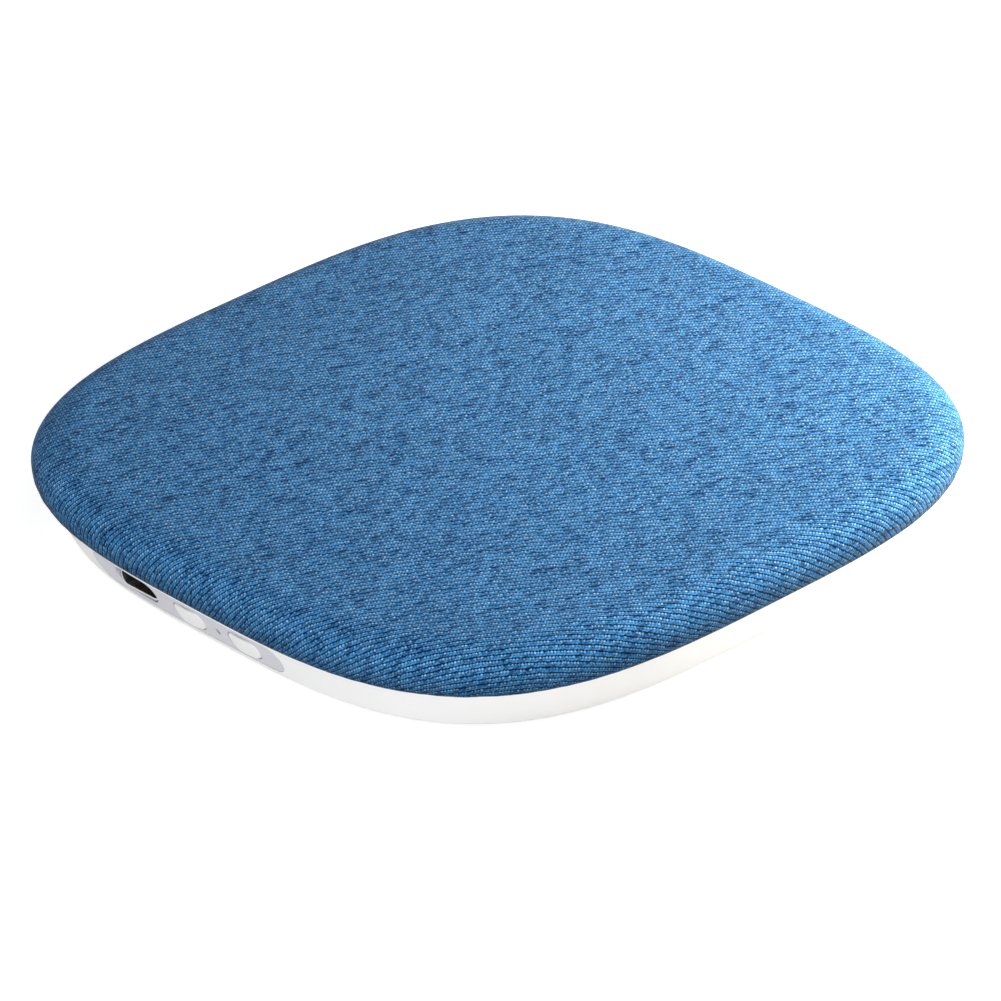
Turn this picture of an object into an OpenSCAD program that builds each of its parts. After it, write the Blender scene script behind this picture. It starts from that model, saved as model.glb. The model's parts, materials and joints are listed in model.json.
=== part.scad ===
// Pillow speaker: a thin rounded-square speaker with a padded denim top and a white lower case.
// Millimetres. It stands on its base pad at z = 0, and its control strip faces -Y.

/* [Outline] */
// Width across the flat sides at the widest line
body_w = 120; // [117:1:150]
// Squareness of the outline, where 2 is a circle
squareness = 3.25; // [3.1:0.05:4.5]
// Points around each outline
outline_points = 80; // [56:8:96]

/* [Cover] */
// Height from the seam up to the widest line
skirt_h = 2.7; // [2.4:0.1:3.4]
// How far the lower edge of the cover tucks in
skirt_tuck = 1; // [0.8:0.1:1.6]
// Width of the rounded shoulder
shoulder_w = 6; // [5:0.1:9]
// Height of the rounded shoulder
shoulder_h = 4.2; // [3.8:0.1:6]
// Rise of the domed top above the shoulder
dome_rise = 1.8; // [1.4:0.1:3]
// Thickness of the denim
fabric_t = 0.9; // [0.6:0.1:1.2]
// Thickness of the foam at the centre
foam_t = 3.3; // [2.4:0.1:3.5]

/* [Case] */
// Height of the case from its flat underside to the seam
case_h = 7.1; // [6.9:0.1:9]
// Slope of the case wall from the vertical, in degrees
wall_slope = 24.4; // [16:0.2:27]
// Thickness of the case wall
wall_t = 2; // [1.6:0.1:2.4]
// Thickness of the case border under the wall
floor_t = 2; // [1.8:0.1:2.4]
// Radius of the rounded lower edge
edge_r = 1.2; // [0.6:0.1:1.4]
// Step from the cover's lower edge in to the case
seam_step = 0.25; // [0.1:0.05:0.8]

/* [Base pad] */
// Width of the bare case border round the pad
pad_border = 5; // [3.5:0.5:7]
// Thickness of the pad
pad_t = 1.2; // [1:0.1:1.5]
// How far the pad stands out of the case
pad_stand = 0.6; // [0.4:0.1:0.8]
// Grooves in the pad
pad_grooves = 4; // [1:1:6]
// Spacing of the grooves
groove_pitch = 3; // [2:0.5:4]
// Width of a groove
groove_w = 1; // [0.6:0.1:1.4]

/* [Control strip] */
// Length of the strip
strip_l = 42.4; // [41:0.1:46]
// Height of the strip
strip_h = 4.9; // [4.5:0.1:5]
// Thickness of the strip
strip_t = 0.8; // [0.6:0.1:1]
// Centre of the strip along X
strip_x = -4.3; // [-5:0.1:3]
// White lip left above the strip
strip_drop = 0.9; // [0.8:0.1:1.2]
// Thinnest wall behind the strip
panel_min = 1; // [0.8:0.1:1.6]

/* [Charging port] */
// Centre of the port from the strip's centre
port_offset = -10.8; // [-12:0.1:-10.4]
// Height of the port's centre above the strip's centre
port_raise = 0.2; // [0:0.05:0.3]
// Width of the port's mouth
port_w = 9.4; // [9.2:0.1:9.8]
// Height of the port's mouth
port_h = 3.8; // [3.5:0.05:3.9]
// Depth of the port shell behind the surface
port_setback = 0.9; // [0.7:0.1:1.5]
// Bevel round the mouth
port_bevel = 0.25; // [0.1:0.05:0.3]

/* [Buttons] */
// Centre of the left button from the strip's centre
left_button_offset = 1.3; // [0.9:0.1:1.6]
// Centre of the right button from the strip's centre
right_button_offset = 13.3; // [12.9:0.1:13.7]
// Length of a button
button_l = 6.6; // [5.5:0.1:6.8]
// Height of a button
button_h = 3.3; // [3:0.1:3.4]
// How far a button's crown stands out of the strip
button_proud = 0.55; // [0.45:0.05:0.8]
// Radius of the crowned face
crown_r = 9.5; // [8:0.5:14]
// Travel of a button
button_travel = 0.35; // [0.2:0.05:0.4]
// Gap round a button
button_gap = 0.12; // [0.08:0.02:0.16]
// Diameter of a switch plunger
plunger_d = 1.8; // [1.4:0.1:2]

/* [Pinhole] */
// Centre of the pinhole from the strip's centre
pinhole_offset = 7.6; // [7.4:0.1:7.8]
// Diameter of the pinhole
pinhole_d = 1; // [0.6:0.1:1.2]
// Diameter of the silicone boot behind it
boot_d = 3; // [2.6:0.1:3.2]

/* [Top shell] */
// Thickness of the grille plate
plate_t = 1.8; // [1.4:0.1:2]
// Depth of the foam's seat in the plate
foam_seat = 0.3; // [0.2:0.1:0.4]
// Thickness of the locating tongue
tongue_t = 1.2; // [1:0.1:1.6]
// Depth of the tongue below the seam
tongue_h = 1.4; // [1:0.1:1.6]
// Diameter of a grille hole
grille_d = 2.4; // [1.5:0.1:2.8]
// Spacing of the grille holes
grille_pitch = 4.2; // [3.8:0.1:4.4]
// Plain border of the grille inside the driver's rim
grille_border = 3; // [1:0.5:5]

/* [Drivers] */
// Room between a driver's ring and the case wall
driver_room = 4; // [3:0.1:6]
// Height of a driver from its rim to its magnet
driver_h = 6; // [5.5:0.1:6.2]
// Distance of the drivers behind the centre line
driver_y = 9; // [4:0.5:12]
// Diameter of the magnet pot
pot_d = 19; // [17:0.5:20]
// Wall of the ring that holds a driver
ring_t = 1.2; // [1:0.1:1.5]
// Depth of that ring
ring_h = 2; // [1.6:0.1:2.4]
// Thickness of the acoustic mesh
mesh_t = 0.2; // [0.1:0.05:0.3]
// Thickness of the driver gasket
gasket_t = 0.5; // [0.4:0.05:0.6]

/* [Battery] */
// Width of the pouch
cell_w = 23; // [20:0.5:25]
// Length of the pouch
cell_l = 46; // [40:1:52]
// Thickness of the pouch
cell_t = 5; // [3:0.1:5.4]
// Room for the leads between the board and the pouch
lead_room = 6.1; // [5.5:0.1:8]
// Thickness of the tape under it
tape_t = 0.4; // [0.3:0.1:0.6]

/* [Main board] */
// Room between the board's ends and the case screws' bosses
board_boss_room = 2.5; // [1:0.1:4]
// Width of the board behind its nose
board_w = 24; // [22:0.5:25]
// Thickness of the board
board_t = 1; // [0.8:0.1:1.2]
// Length of the nose over the port and switches
nose_l = 36; // [35:0.5:38]
// Inset of the board screws from the corners
board_screw_inset = 3; // [2.8:0.1:3.6]

/* [Screws] */
// Core diameter of a case screw
case_screw_d = 2.2; // [2:0.1:2.4]
// Head diameter of a case screw
case_head_d = 4.4; // [4:0.1:4.6]
// Head height of a case screw
case_head_h = 1.1; // [0.9:0.05:1.15]
// Length of a case screw below its head
case_screw_l = 7; // [6:0.1:7.4]
// Core diameter of a board screw
board_screw_d = 1.6; // [1.4:0.1:1.8]
// How far a board screw ends above the floor
board_screw_short = 0.5; // [0.3:0.1:1]
// Head diameter of a board screw
board_head_d = 3.4; // [3:0.1:3.6]

/* [Leads] */
// Diameter of a lead
lead_d = 1; // [0.7:0.1:1]

/* [Hidden] */

$fn = 48;
// Clearance of soft pieces, of fitted pieces, and of a hair's breadth
soft_gap = 0.1;
fit_gap = 0.2;
seat_gap = 0.05;
// How far a cutter runs past what it cuts
over = 1;

// Heights
seam_z = pad_stand + case_h;
rim_z = seam_z + skirt_h;
shoulder_z = rim_z + shoulder_h;
top_z = shoulder_z + dome_rise;
plate_z = top_z - fabric_t - soft_gap - foam_t - soft_gap;
plate_rim_z = plate_z + foam_seat;
plate_low_z = plate_z - plate_t;
floor_z = pad_stand + floor_t;
hem_low_z = seam_z + soft_gap;
hem_top_z = hem_low_z + fabric_t;
shell_low_z = hem_top_z + soft_gap;
tongue_low_z = seam_z - tongue_h;

// Half-widths of the outline at each level
half_w = body_w / 2;
case_top_half = half_w - skirt_tuck - seam_step;
function case_half(z) = case_top_half - (seam_z - z) * tan(wall_slope);
edge_tangent = edge_r / tan((180 - (90 - wall_slope)) / 2);
base_half = case_half(pad_stand) - edge_tangent;
pad_half = base_half - pad_border;
tongue_out = case_half(tongue_low_z) - wall_t - fit_gap;
tongue_in = tongue_out - tongue_t;
hem_half = tongue_out + 2 * fit_gap;
// Overlap of fused plates with the ring that carries them
plate_lap = 1;

// Outline: a superellipse in polar form
function outline_r(half, angle) =
    half / pow(pow(abs(cos(angle)), squareness) + pow(abs(sin(angle)), squareness), 1 / squareness);
function outline(half) = [for (k = [0:outline_points - 1]) let (angle = 360 * k / outline_points)
    outline_r(half, angle) * [cos(angle), sin(angle)]];
function outline_y(half, x) = half * pow(1 - pow(abs(x) / half, squareness), 1 / squareness);
diagonal = 45;
function corner_xy(half, inset) = (outline_r(half, diagonal) - inset) * cos(diagonal);

// Control strip and what lines up with it
strip_z = seam_z - strip_drop - strip_h / 2;
strip_low_z = strip_z - strip_h / 2;
strip_far_x = abs(strip_x) + strip_l / 2;
panel_y = -(outline_y(case_half(strip_low_z), strip_far_x) - strip_t - panel_min);
panel_ear = 2;
post_room = 0.4;
panel_half_l = strip_l / 2 + panel_ear;
port_x = strip_x + port_offset;
port_z = strip_z + port_raise;
pinhole_x = strip_x + pinhole_offset;
left_button_x = strip_x + left_button_offset;
right_button_x = strip_x + right_button_offset;
function wall_y(x, z) = -outline_y(case_half(z), x);

// Button, flange and switch, one behind the other along Y
button_back_y = panel_y - button_travel - soft_gap;
flange_y = panel_y + seat_gap;
flange_t = 0.7;
flange_ear = 0.75;
neck_drop = 0.25;
nub_l = 0.3;
nub_d = 2;
plunger_y = flange_y + flange_t + nub_l;
plunger_out = 0.7;
plunger_in = 0.9;
plunger_slack = 0.05;
switch_y = plunger_y + plunger_out;
switch_l = 6;
switch_depth = 3;
switch_below = 1.4;

// Port connector
port_shell_w = 8.94;
port_shell_h = 3.26;
port_shell_t = 0.3;
port_shell_l = 7.35;
port_y = wall_y(port_x, port_z) + port_setback;
tongue_board_w = 6.7;
tongue_board_t = 0.7;
tongue_board_setback = 0.8;
port_block_l = 2.6;
contact_w = 0.25;
contact_pitch = 0.5;
contact_count = 12;
contact_t = 0.06;
contact_l = 3.2;

// Case screws
screw_edge = 1.8;
boss_wall = 1.3;
boss_rise = 1.7;
shell_boss_wall = 1.7;
head_slack = 0.2;
screw_slack = 0.3;
screw_xy = corner_xy(pad_half, case_head_d / 2 + screw_edge);
case_screws_at = [for (sx = [-1, 1], sy = [-1, 1]) [sx * screw_xy, sy * screw_xy]];
pocket_low_z = pad_t;
pocket_top_z = pocket_low_z + case_head_h + soft_gap;
case_boss_d = case_head_d + 2 * boss_wall;
case_boss_top_z = floor_z + boss_rise;
shell_boss_d = case_screw_d + 2 * shell_boss_wall;

// Main board
board_low_z = port_z + port_shell_h / 2 + 0.02;
board_top_z = board_low_z + board_t;
board_half_l = screw_xy - case_boss_d / 2 - board_boss_room - abs(strip_x);
board_far_x = abs(strip_x) + board_half_l;
// Behind the strip's wall, and inside the tongue at its corners
board_front_y = max(panel_y + post_room, -outline_y(tongue_in - 3 * fit_gap, board_far_x));
board_back_y = board_front_y + board_w;
nose_front_y = panel_y + fit_gap;
nose_x = strip_x;
slot_reach = 4;
board_corner_r = 1.5;
post_d = 5;
board_screw_front_y = switch_y + switch_depth + post_room + post_d / 2;
board_screws_at = [for (sx = [-1, 1], y = [board_screw_front_y, board_back_y - board_screw_inset])
    [strip_x + sx * (board_half_l - board_screw_inset), y]];

// Microphone
boot_l = 2.2;
capsule_d = boot_d - 0.8;
capsule_l = 1.2;

// Battery
cell_z = floor_z + tape_t;
flap_l = 3;
flap_t = 1;
flap_inset = 2;
flap_drop = 0.4;
flap_mid_z = cell_z + cell_t - flap_drop - flap_t / 2;
cell_front_y = board_back_y + lead_room + flap_l;
cell_y = cell_front_y + cell_l / 2;
tape_border = 3;
tape_border_l = 4;
rail_t = 1.2;
rail_h = 2.4;
rail_gap = 0.4;

// Drivers
ring_out = (tongue_in - driver_room - cell_w / 2 - rail_gap) / 2;
ring_in = ring_out - ring_t;
driver_r = ring_in - fit_gap;
driver_x = cell_w / 2 + rail_gap + ring_out;
basket_z = plate_low_z - mesh_t - gasket_t;
magnet_z = basket_z - driver_h;
flange_in = driver_r - 2.8;
gasket_in = driver_r - 1.1;
pot_r = pot_d / 2;
pot_wall = 1.2;
pot_h = 3.9;
top_plate_r = pot_r - pot_wall - 1.3;
coil_r = (pot_r - pot_wall + top_plate_r) / 2;
coil_t = 0.3;
cone_t = 0.35;
lead_notch_w = 8;
grille_rings = floor((driver_r - grille_border - grille_d / 2) / grille_pitch);

// Headers for the leads
header_w = 5;
header_d = 3.4;
header_h = 2.6;
header_wall = 0.5;
header_y = board_back_y - header_d / 2 - 0.3;
header_inset = 11.5;
header_mid_x = 2.5;
header_out = board_half_l - header_inset;
header_xs = [strip_x - header_out, strip_x + header_mid_x, strip_x + header_out];
lead_z = board_top_z + header_h / 2;

// Loft through rings of [half-width, height], capped or joined end to start
module ring_loft(rings, closed = false) {
    n = outline_points;
    m = len(rings);
    points = [for (ring = rings) for (p = outline(ring[0])) [p[0], p[1], ring[1]]];
    sides = [for (j = [0:(closed ? m - 1 : m - 2)]) for (k = [0:n - 1])
        let (a = j * n + k, b = j * n + (k + 1) % n, c = ((j + 1) % m) * n + k, d = ((j + 1) % m) * n + (k + 1) % n)
        each [[a, c, b], [b, c, d]]];
    low_cap = [for (k = [0:n - 1]) k];
    high_cap = [for (k = [n - 1:-1:0]) (m - 1) * n + k];
    polyhedron(points, closed ? sides : concat([low_cap, high_cap], sides), convexity = 8);
}

// Flat plate with the body's outline
module outline_plate(half, low_z, high_z) {
    translate([0, 0, low_z]) linear_extrude(high_z - low_z) polygon(outline(half));
}

function reversed(list) = [for (i = [len(list) - 1:-1:0]) list[i]];
function steps(from, to, count) = [for (i = [0:count]) from + (to - from) * i / count];

// Cover section, inset by t: the skirt rolls up to the widest line, the shoulder over to the dome
function skirt(t, low_z, count) = [for (f = steps(90, 0, count))
    [half_w - t - skirt_tuck * (1 - cos(f)), rim_z - (rim_z - low_z) * sin(f)]];
function shoulder(t, from, to, count) = [for (f = steps(from, to, count))
    [half_w - t - (shoulder_w - t) * (1 - cos(f)), rim_z + (shoulder_h - t) * sin(f)]];
dome_flat = 8;
function dome(t, count) = [for (i = [1:count]) let (u = i / count)
    [(half_w - shoulder_w) * (1 - u) + dome_flat * u, shoulder_z - t + dome_rise * (1 - (1 - u) * (1 - u))]];
function rest(list) = [for (i = [1:len(list) - 1]) list[i]];

// Rounded slot shape lying along X, pushed through along Y
module slot_prism(l, h, from_y, to_y, x, z) {
    translate([x, to_y, z]) rotate([90, 0, 0]) linear_extrude(to_y - from_y) {
        square([l - h, h], center = true);
        for (side = [-1, 1]) translate([side * (l - h) / 2, 0]) circle(d = h);
    }
}

// Plate with four round corners
module rounded_plate(l, w, r, t) {
    linear_extrude(t) {
        square([l - 2 * r, w], center = true);
        square([l, w - 2 * r], center = true);
        for (x = [-1, 1], y = [-1, 1]) translate([x * (l / 2 - r), y * (w / 2 - r)]) circle(r);
    }
}

// Pan-head screw, head at the origin, shank along +Z, with a cross recess under the head
module screw(d, head_d, head_h, l) {
    recess = head_h * 0.6;
    bar = head_d * 0.16;
    difference() {
        union() {
            translate([0, 0, -head_h]) cylinder(h = head_h, d = head_d);
            translate([0, 0, -0.2]) cylinder(h = l - d / 2 + 0.2, d = d);
            translate([0, 0, l - d / 2]) cylinder(h = d / 2, d1 = d, d2 = d * 0.35);
        }
        for (turn = [0, 90]) rotate([0, 0, turn]) translate([0, 0, -head_h])
            cube([head_d * 0.62, bar, 2 * recess], center = true);
    }
}

module denim_cover() {
    color([0.25, 0.44, 0.62]) ring_loft(concat(
        reversed(dome(fabric_t, 3)), reversed(shoulder(fabric_t, 0, 90, 5)),
        rest(reversed(skirt(fabric_t, hem_top_z, 3))),
        [[hem_half, hem_top_z], [hem_half, hem_low_z]],
        skirt(0, hem_low_z, 4), rest(shoulder(0, 0, 90, 5)), dome(0, 4)));
}

module foam_pad() {
    t = fabric_t + soft_gap;
    low_z = plate_rim_z + soft_gap;
    from = asin((low_z - rim_z + 0.3) / (shoulder_h - t));
    edge = shoulder(t, from, 90, 4);
    seat_half = tongue_in - plate_lap - 2 * soft_gap;
    color([0.3, 0.31, 0.33]) ring_loft(concat(
        [[seat_half, plate_z + soft_gap], [seat_half, low_z], [edge[0][0], low_z]], edge, dome(t, 3)));
}

module grille_holes() {
    for (ring = [0:grille_rings]) for (k = [0:max(0, 6 * ring - 1)]) {
        side = floor(k / max(1, ring));
        along = ring == 0 ? 0 : (k % ring) / ring;
        a = ring * grille_pitch * [cos(60 * side), sin(60 * side)];
        b = ring * grille_pitch * [cos(60 * side + 60), sin(60 * side + 60)];
        p = a + (b - a) * along;
        translate([p[0], p[1], plate_low_z - over]) cylinder(h = plate_t + 2 * over, d = grille_d, $fn = 16);
    }
}

module top_shell() {
    t = fabric_t + 2 * soft_gap;
    to = asin((plate_rim_z - rim_z) / (shoulder_h - t));
    bosses_low_z = case_boss_top_z + seat_gap;
    ring_low_z = plate_low_z - ring_h;
    inner = tongue_in - plate_lap;
    color([0.93, 0.93, 0.92]) difference() {
        union() {
            ring_loft(concat([[inner, plate_low_z - 1], [tongue_in, plate_low_z - 1], [tongue_in, tongue_low_z],
                [tongue_out, tongue_low_z], [tongue_out, shell_low_z]], skirt(t, shell_low_z, 3),
                rest(shoulder(t, 0, to, 3)), [[inner, plate_rim_z]]), closed = true);
            outline_plate(tongue_in - plate_lap / 2, plate_low_z, plate_z);
            for (p = case_screws_at) translate([p[0], p[1], bosses_low_z])
                cylinder(h = plate_z - plate_t / 2 - bosses_low_z, d = shell_boss_d);
            for (side = [-1, 1]) translate([side * driver_x, driver_y, ring_low_z]) difference() {
                cylinder(h = ring_h + plate_t / 2, r = ring_out);
                translate([0, 0, -over]) cylinder(h = ring_h + over, r = ring_in);
                translate([-lead_notch_w / 2, -ring_out - over, -over])
                    cube([lead_notch_w, ring_out, ring_h + over]);
            }
        }
        for (side = [-1, 1]) translate([side * driver_x, driver_y]) grille_holes();
        for (p = case_screws_at) translate([p[0], p[1], bosses_low_z - over])
            cylinder(h = case_screw_l + over, d = case_screw_d + seat_gap);
        translate([strip_x - panel_half_l - fit_gap, -half_w, tongue_low_z - over])
            cube([2 * (panel_half_l + fit_gap), half_w + nose_front_y + slot_reach,
                shell_low_z - tongue_low_z + over]);
    }
}

// Openings that run through the wall behind the strip
module panel_openings(from_y, to_y) {
    slot_prism(port_w, port_h, from_y, to_y, port_x, port_z);
    for (x = [left_button_x, right_button_x])
        slot_prism(button_l + 2 * button_gap, button_h + 2 * button_gap, from_y, to_y, x, strip_z);
    translate([pinhole_x, to_y, strip_z]) rotate([90, 0, 0]) cylinder(h = to_y - from_y, d = pinhole_d);
}

module bottom_shell() {
    arc = [for (f = steps(-90, -wall_slope, 4))
        [base_half + edge_r * cos(f), pad_stand + edge_r + edge_r * sin(f)]];
    plate_low = pad_t;
    recess_half = pad_half + soft_gap;
    inner_low = case_half(floor_z) - wall_t;
    color([0.95, 0.95, 0.94]) difference() {
        union() {
            ring_loft(concat([[recess_half, pad_stand]], arc, [[case_top_half, seam_z],
                [case_top_half - wall_t, seam_z], [inner_low, floor_z - soft_gap],
                [recess_half, floor_z - 2 * soft_gap]]), closed = true);
            outline_plate(inner_low + wall_t / 2, plate_low, floor_z);
            intersection() {
                translate([strip_x - panel_half_l, -half_w, plate_low + soft_gap])
                    cube([2 * panel_half_l, half_w + panel_y, seam_z - plate_low - 2 * soft_gap]);
                ring_loft([[case_half(pad_stand) - wall_t / 2, pad_stand], [case_top_half - wall_t / 2, seam_z]]);
            }
            for (p = case_screws_at) translate([p[0], p[1], plate_low + soft_gap])
                cylinder(h = case_boss_top_z - plate_low - soft_gap, d = case_boss_d);
            for (p = board_screws_at) translate([p[0], p[1], plate_low + soft_gap])
                cylinder(h = board_low_z - plate_low - soft_gap, d = post_d);
            for (side = [-1, 1]) {
                translate([side * (cell_w / 2 + rail_gap + rail_t / 2), cell_y, plate_low + soft_gap])
                    rounded_plate(rail_t, cell_l, rail_t / 2 - 0.1, floor_z - plate_low + rail_h);
                translate([0, cell_y + side * (cell_l / 2 + rail_gap + rail_t / 2), plate_low + soft_gap])
                    rounded_plate(cell_w - 2 * tape_border, rail_t, rail_t / 2 - 0.1,
                        floor_z - plate_low + rail_h * 0.6);
            }
        }
        for (p = case_screws_at) translate([p[0], p[1], 0]) {
            translate([0, 0, pocket_low_z - over])
                cylinder(h = pocket_top_z - pocket_low_z + over, d = case_head_d + 2 * head_slack);
            cylinder(h = case_boss_top_z + over, d = case_screw_d + 2 * screw_slack);
        }
        for (p = board_screws_at) translate([p[0], p[1], floor_z])
            cylinder(h = board_low_z - floor_z + over, d = board_screw_d + seat_gap);
        intersection() {
            ring_loft([[case_half(pad_stand) - strip_t - seat_gap, pad_stand],
                [case_half(pad_stand) + over, pad_stand], [case_top_half + over, seam_z],
                [case_top_half - strip_t - seat_gap, seam_z]], closed = true);
            slot_prism(strip_l + 2 * seat_gap, strip_h + 2 * seat_gap, -body_w, panel_y, strip_x, strip_z);
        }
        panel_openings(-body_w, panel_y + over);
    }
}

module base_pad() {
    color([0.86, 0.86, 0.85]) difference() {
        outline_plate(pad_half, 0, pad_t);
        for (k = [1:pad_grooves]) difference() {
            outline_plate(pad_half - k * groove_pitch, -over, pad_stand * 0.6);
            outline_plate(pad_half - k * groove_pitch - groove_w, -2 * over, pad_stand);
        }
    }
}

module control_strip() {
    low = pad_stand;
    color([0.8, 0.8, 0.83]) difference() {
        intersection() {
            ring_loft([[case_half(low) - strip_t, low], [case_half(low), low],
                [case_top_half, seam_z], [case_top_half - strip_t, seam_z]], closed = true);
            slot_prism(strip_l, strip_h, -body_w, panel_y, strip_x, strip_z);
        }
        panel_openings(-body_w, panel_y);
        // The bevel follows the slope of the wall
        translate([port_x, wall_y(port_x, port_z), port_z]) rotate([-wall_slope, 0, 0]) hull() {
            slot_prism(port_w + 2 * port_bevel, port_h + 2 * port_bevel, -0.1, 0, 0, 0);
            slot_prism(port_w, port_h, port_bevel, port_bevel + 0.1, 0, 0);
        }
    }
}

// Button: a crowned oval cap, a neck through the wall, and a flange behind it
module button(x) {
    crown = [x, wall_y(x, strip_z) - button_proud * cos(wall_slope), strip_z - button_proud * sin(wall_slope)];
    centre = crown + crown_r * [0, cos(wall_slope), sin(wall_slope)];
    color([0.94, 0.94, 0.93]) union() {
        intersection() {
            slot_prism(button_l, button_h, crown[1] - over, button_back_y, x, strip_z);
            translate(centre) sphere(crown_r);
        }
        slot_prism(button_l - neck_drop, button_h - 2 * neck_drop, button_back_y - neck_drop, flange_y + neck_drop,
            x, strip_z);
        slot_prism(button_l + 2 * flange_ear, button_h - 2 * neck_drop, flange_y, flange_y + flange_t, x, strip_z);
        translate([x, flange_y + flange_t + nub_l, strip_z]) rotate([90, 0, 0]) cylinder(h = 2 * nub_l, d = nub_d);
    }
}

module left_button() { button(left_button_x); }
module right_button() { button(right_button_x); }

module plunger(x) {
    color([0.2, 0.2, 0.2]) translate([x, plunger_y + plunger_out + plunger_in, strip_z])
        rotate([90, 0, 0]) cylinder(h = plunger_out + plunger_in, d = plunger_d);
}

module left_plunger() { plunger(left_button_x); }
module right_plunger() { plunger(right_button_x); }

// Side-push switch hanging under the board
module switch_body(x) {
    low_z = strip_z - switch_below;
    color([0.75, 0.76, 0.78]) difference() {
        union() {
            translate([x - switch_l / 2, switch_y, low_z]) cube([switch_l, switch_depth, board_low_z - low_z]);
            for (side = [-1, 1]) translate([x + side * (switch_l / 2 - 0.6) - 0.4, switch_y - 0.15, low_z + 0.4])
                cube([0.8, 0.3, board_low_z - low_z - 0.6]);
        }
        translate([x, switch_y + plunger_in + button_travel + plunger_slack, strip_z]) rotate([90, 0, 0])
            cylinder(h = plunger_in + button_travel + plunger_slack + over, d = plunger_d + 2 * plunger_slack);
    }
}

module left_switch() { switch_body(left_button_x); }
module right_switch() { switch_body(right_button_x); }

module port_shell() {
    inner_w = port_shell_w - 2 * port_shell_t;
    inner_h = port_shell_h - 2 * port_shell_t;
    color([0.72, 0.73, 0.75]) difference() {
        slot_prism(port_shell_w, port_shell_h, port_y, port_y + port_shell_l, port_x, port_z);
        slot_prism(inner_w, inner_h, port_y - over, port_y + port_shell_l + over, port_x, port_z);
    }
}

module port_tongue() {
    back = port_y + port_shell_l;
    color([0.1, 0.1, 0.11]) union() {
        slot_prism(port_shell_w - 2 * port_shell_t - 0.02, port_shell_h - 2 * port_shell_t - 0.02,
            back - port_block_l, back, port_x, port_z);
        translate([port_x - tongue_board_w / 2, port_y + tongue_board_setback, port_z - tongue_board_t / 2])
            cube([tongue_board_w, port_shell_l - tongue_board_setback - 1, tongue_board_t]);
    }
}

module port_contacts() {
    color([0.83, 0.68, 0.35]) for (k = [0:contact_count - 1], side = [-1, 1])
        translate([port_x + (k - (contact_count - 1) / 2) * contact_pitch - contact_w / 2,
            port_y + tongue_board_setback + 0.4,
            side > 0 ? port_z + tongue_board_t / 2 : port_z - tongue_board_t / 2 - contact_t])
            cube([contact_w, contact_l, contact_t]);
}

module microphone_boot() {
    color([0.15, 0.15, 0.16]) translate([pinhole_x, panel_y + boot_l, strip_z]) rotate([90, 0, 0]) difference() {
        cylinder(h = boot_l, d = boot_d);
        translate([0, 0, -over]) cylinder(h = boot_l + 2 * over, d = pinhole_d);
        translate([0, 0, -over]) cylinder(h = capsule_l + over + seat_gap, d = capsule_d + seat_gap);
    }
}

module microphone() {
    color([0.7, 0.71, 0.73]) translate([pinhole_x, panel_y + boot_l, strip_z]) {
        rotate([90, 0, 0]) cylinder(h = capsule_l, d = capsule_d);
        for (side = [-1, 1]) translate([side * 0.5 - 0.15, -0.1, -0.15]) cube([0.3, 0.6, 0.3]);
        for (side = [-1, 1]) translate([side * 0.5 - 0.15, 0.2, -0.15])
            cube([0.3, 0.3, board_low_z - strip_z + 0.15]);
    }
}

module main_board() {
    length = board_back_y - board_front_y;
    color([0.06, 0.22, 0.14]) difference() {
        union() {
            translate([strip_x, board_front_y + length / 2, board_low_z])
                rounded_plate(2 * board_half_l, length, board_corner_r, board_t);
            translate([nose_x - nose_l / 2, nose_front_y, board_low_z])
                cube([nose_l, board_front_y - nose_front_y + board_corner_r, board_t]);
        }
        for (p = board_screws_at) translate([p[0], p[1], board_low_z - over])
            cylinder(h = board_t + 2 * over, d = board_screw_d + 2 * screw_slack);
    }
}

// Square chip on top of the board
module chip(x, y, l, w, h) {
    translate([x - l / 2, y - w / 2, board_top_z]) cube([l, w, h]);
}

board_mid_y = (board_front_y + board_back_y) / 2;
chip_row_y = board_mid_y - 3;
audio_chip_w = 7;
power_chip_w = 4;
chip_h = 0.9;
memory_chip_size = [4, 5, 1.5];
coil_w = 5;
coil_h = 2.2;
crystal_size = [3.2, 2.5, 0.8];
part_size = [1.6, 0.8, 0.6];
part_inset = 11;
part_pitch = (board_half_l - part_inset) / 4;
part_row = 6.5;
// Places along the board from its middle, as shares of its half length
audio_chip_at = -0.15 * board_half_l;
power_chip_at = -0.555 * board_half_l;
memory_chip_at = 0.2 * board_half_l;
crystal_at = 0.45 * board_half_l;
coil_row = 6;

module audio_chip() {
    color([0.08, 0.08, 0.09]) chip(strip_x + audio_chip_at, chip_row_y, audio_chip_w, audio_chip_w, chip_h);
}

module power_chip() {
    color([0.08, 0.08, 0.09]) chip(strip_x + power_chip_at, chip_row_y, power_chip_w, power_chip_w, chip_h);
}

module memory_chip() {
    x = strip_x + memory_chip_at;
    pin_pitch = 1.27;
    pin = [0.9, 0.4, 0.3];
    pin_x = (memory_chip_size[0] + pin[0]) / 2 - 0.05;
    color([0.09, 0.09, 0.1]) chip(x, chip_row_y, memory_chip_size[0], memory_chip_size[1], memory_chip_size[2]);
    color([0.75, 0.75, 0.76]) for (k = [0:3], side = [-1, 1])
        translate([x + side * pin_x - pin[0] / 2, chip_row_y + (k - 1.5) * pin_pitch - pin[1] / 2, board_top_z])
            cube(pin);
}

module inductor() {
    color([0.2, 0.2, 0.22]) translate([strip_x + power_chip_at, chip_row_y + coil_row, board_top_z])
        rounded_plate(coil_w, coil_w, coil_w / 4, coil_h);
}

module crystal() {
    color([0.8, 0.8, 0.82]) translate([strip_x + crystal_at, chip_row_y, board_top_z])
        rounded_plate(crystal_size[0], crystal_size[1], crystal_size[2] / 2, crystal_size[2]);
}

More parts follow.
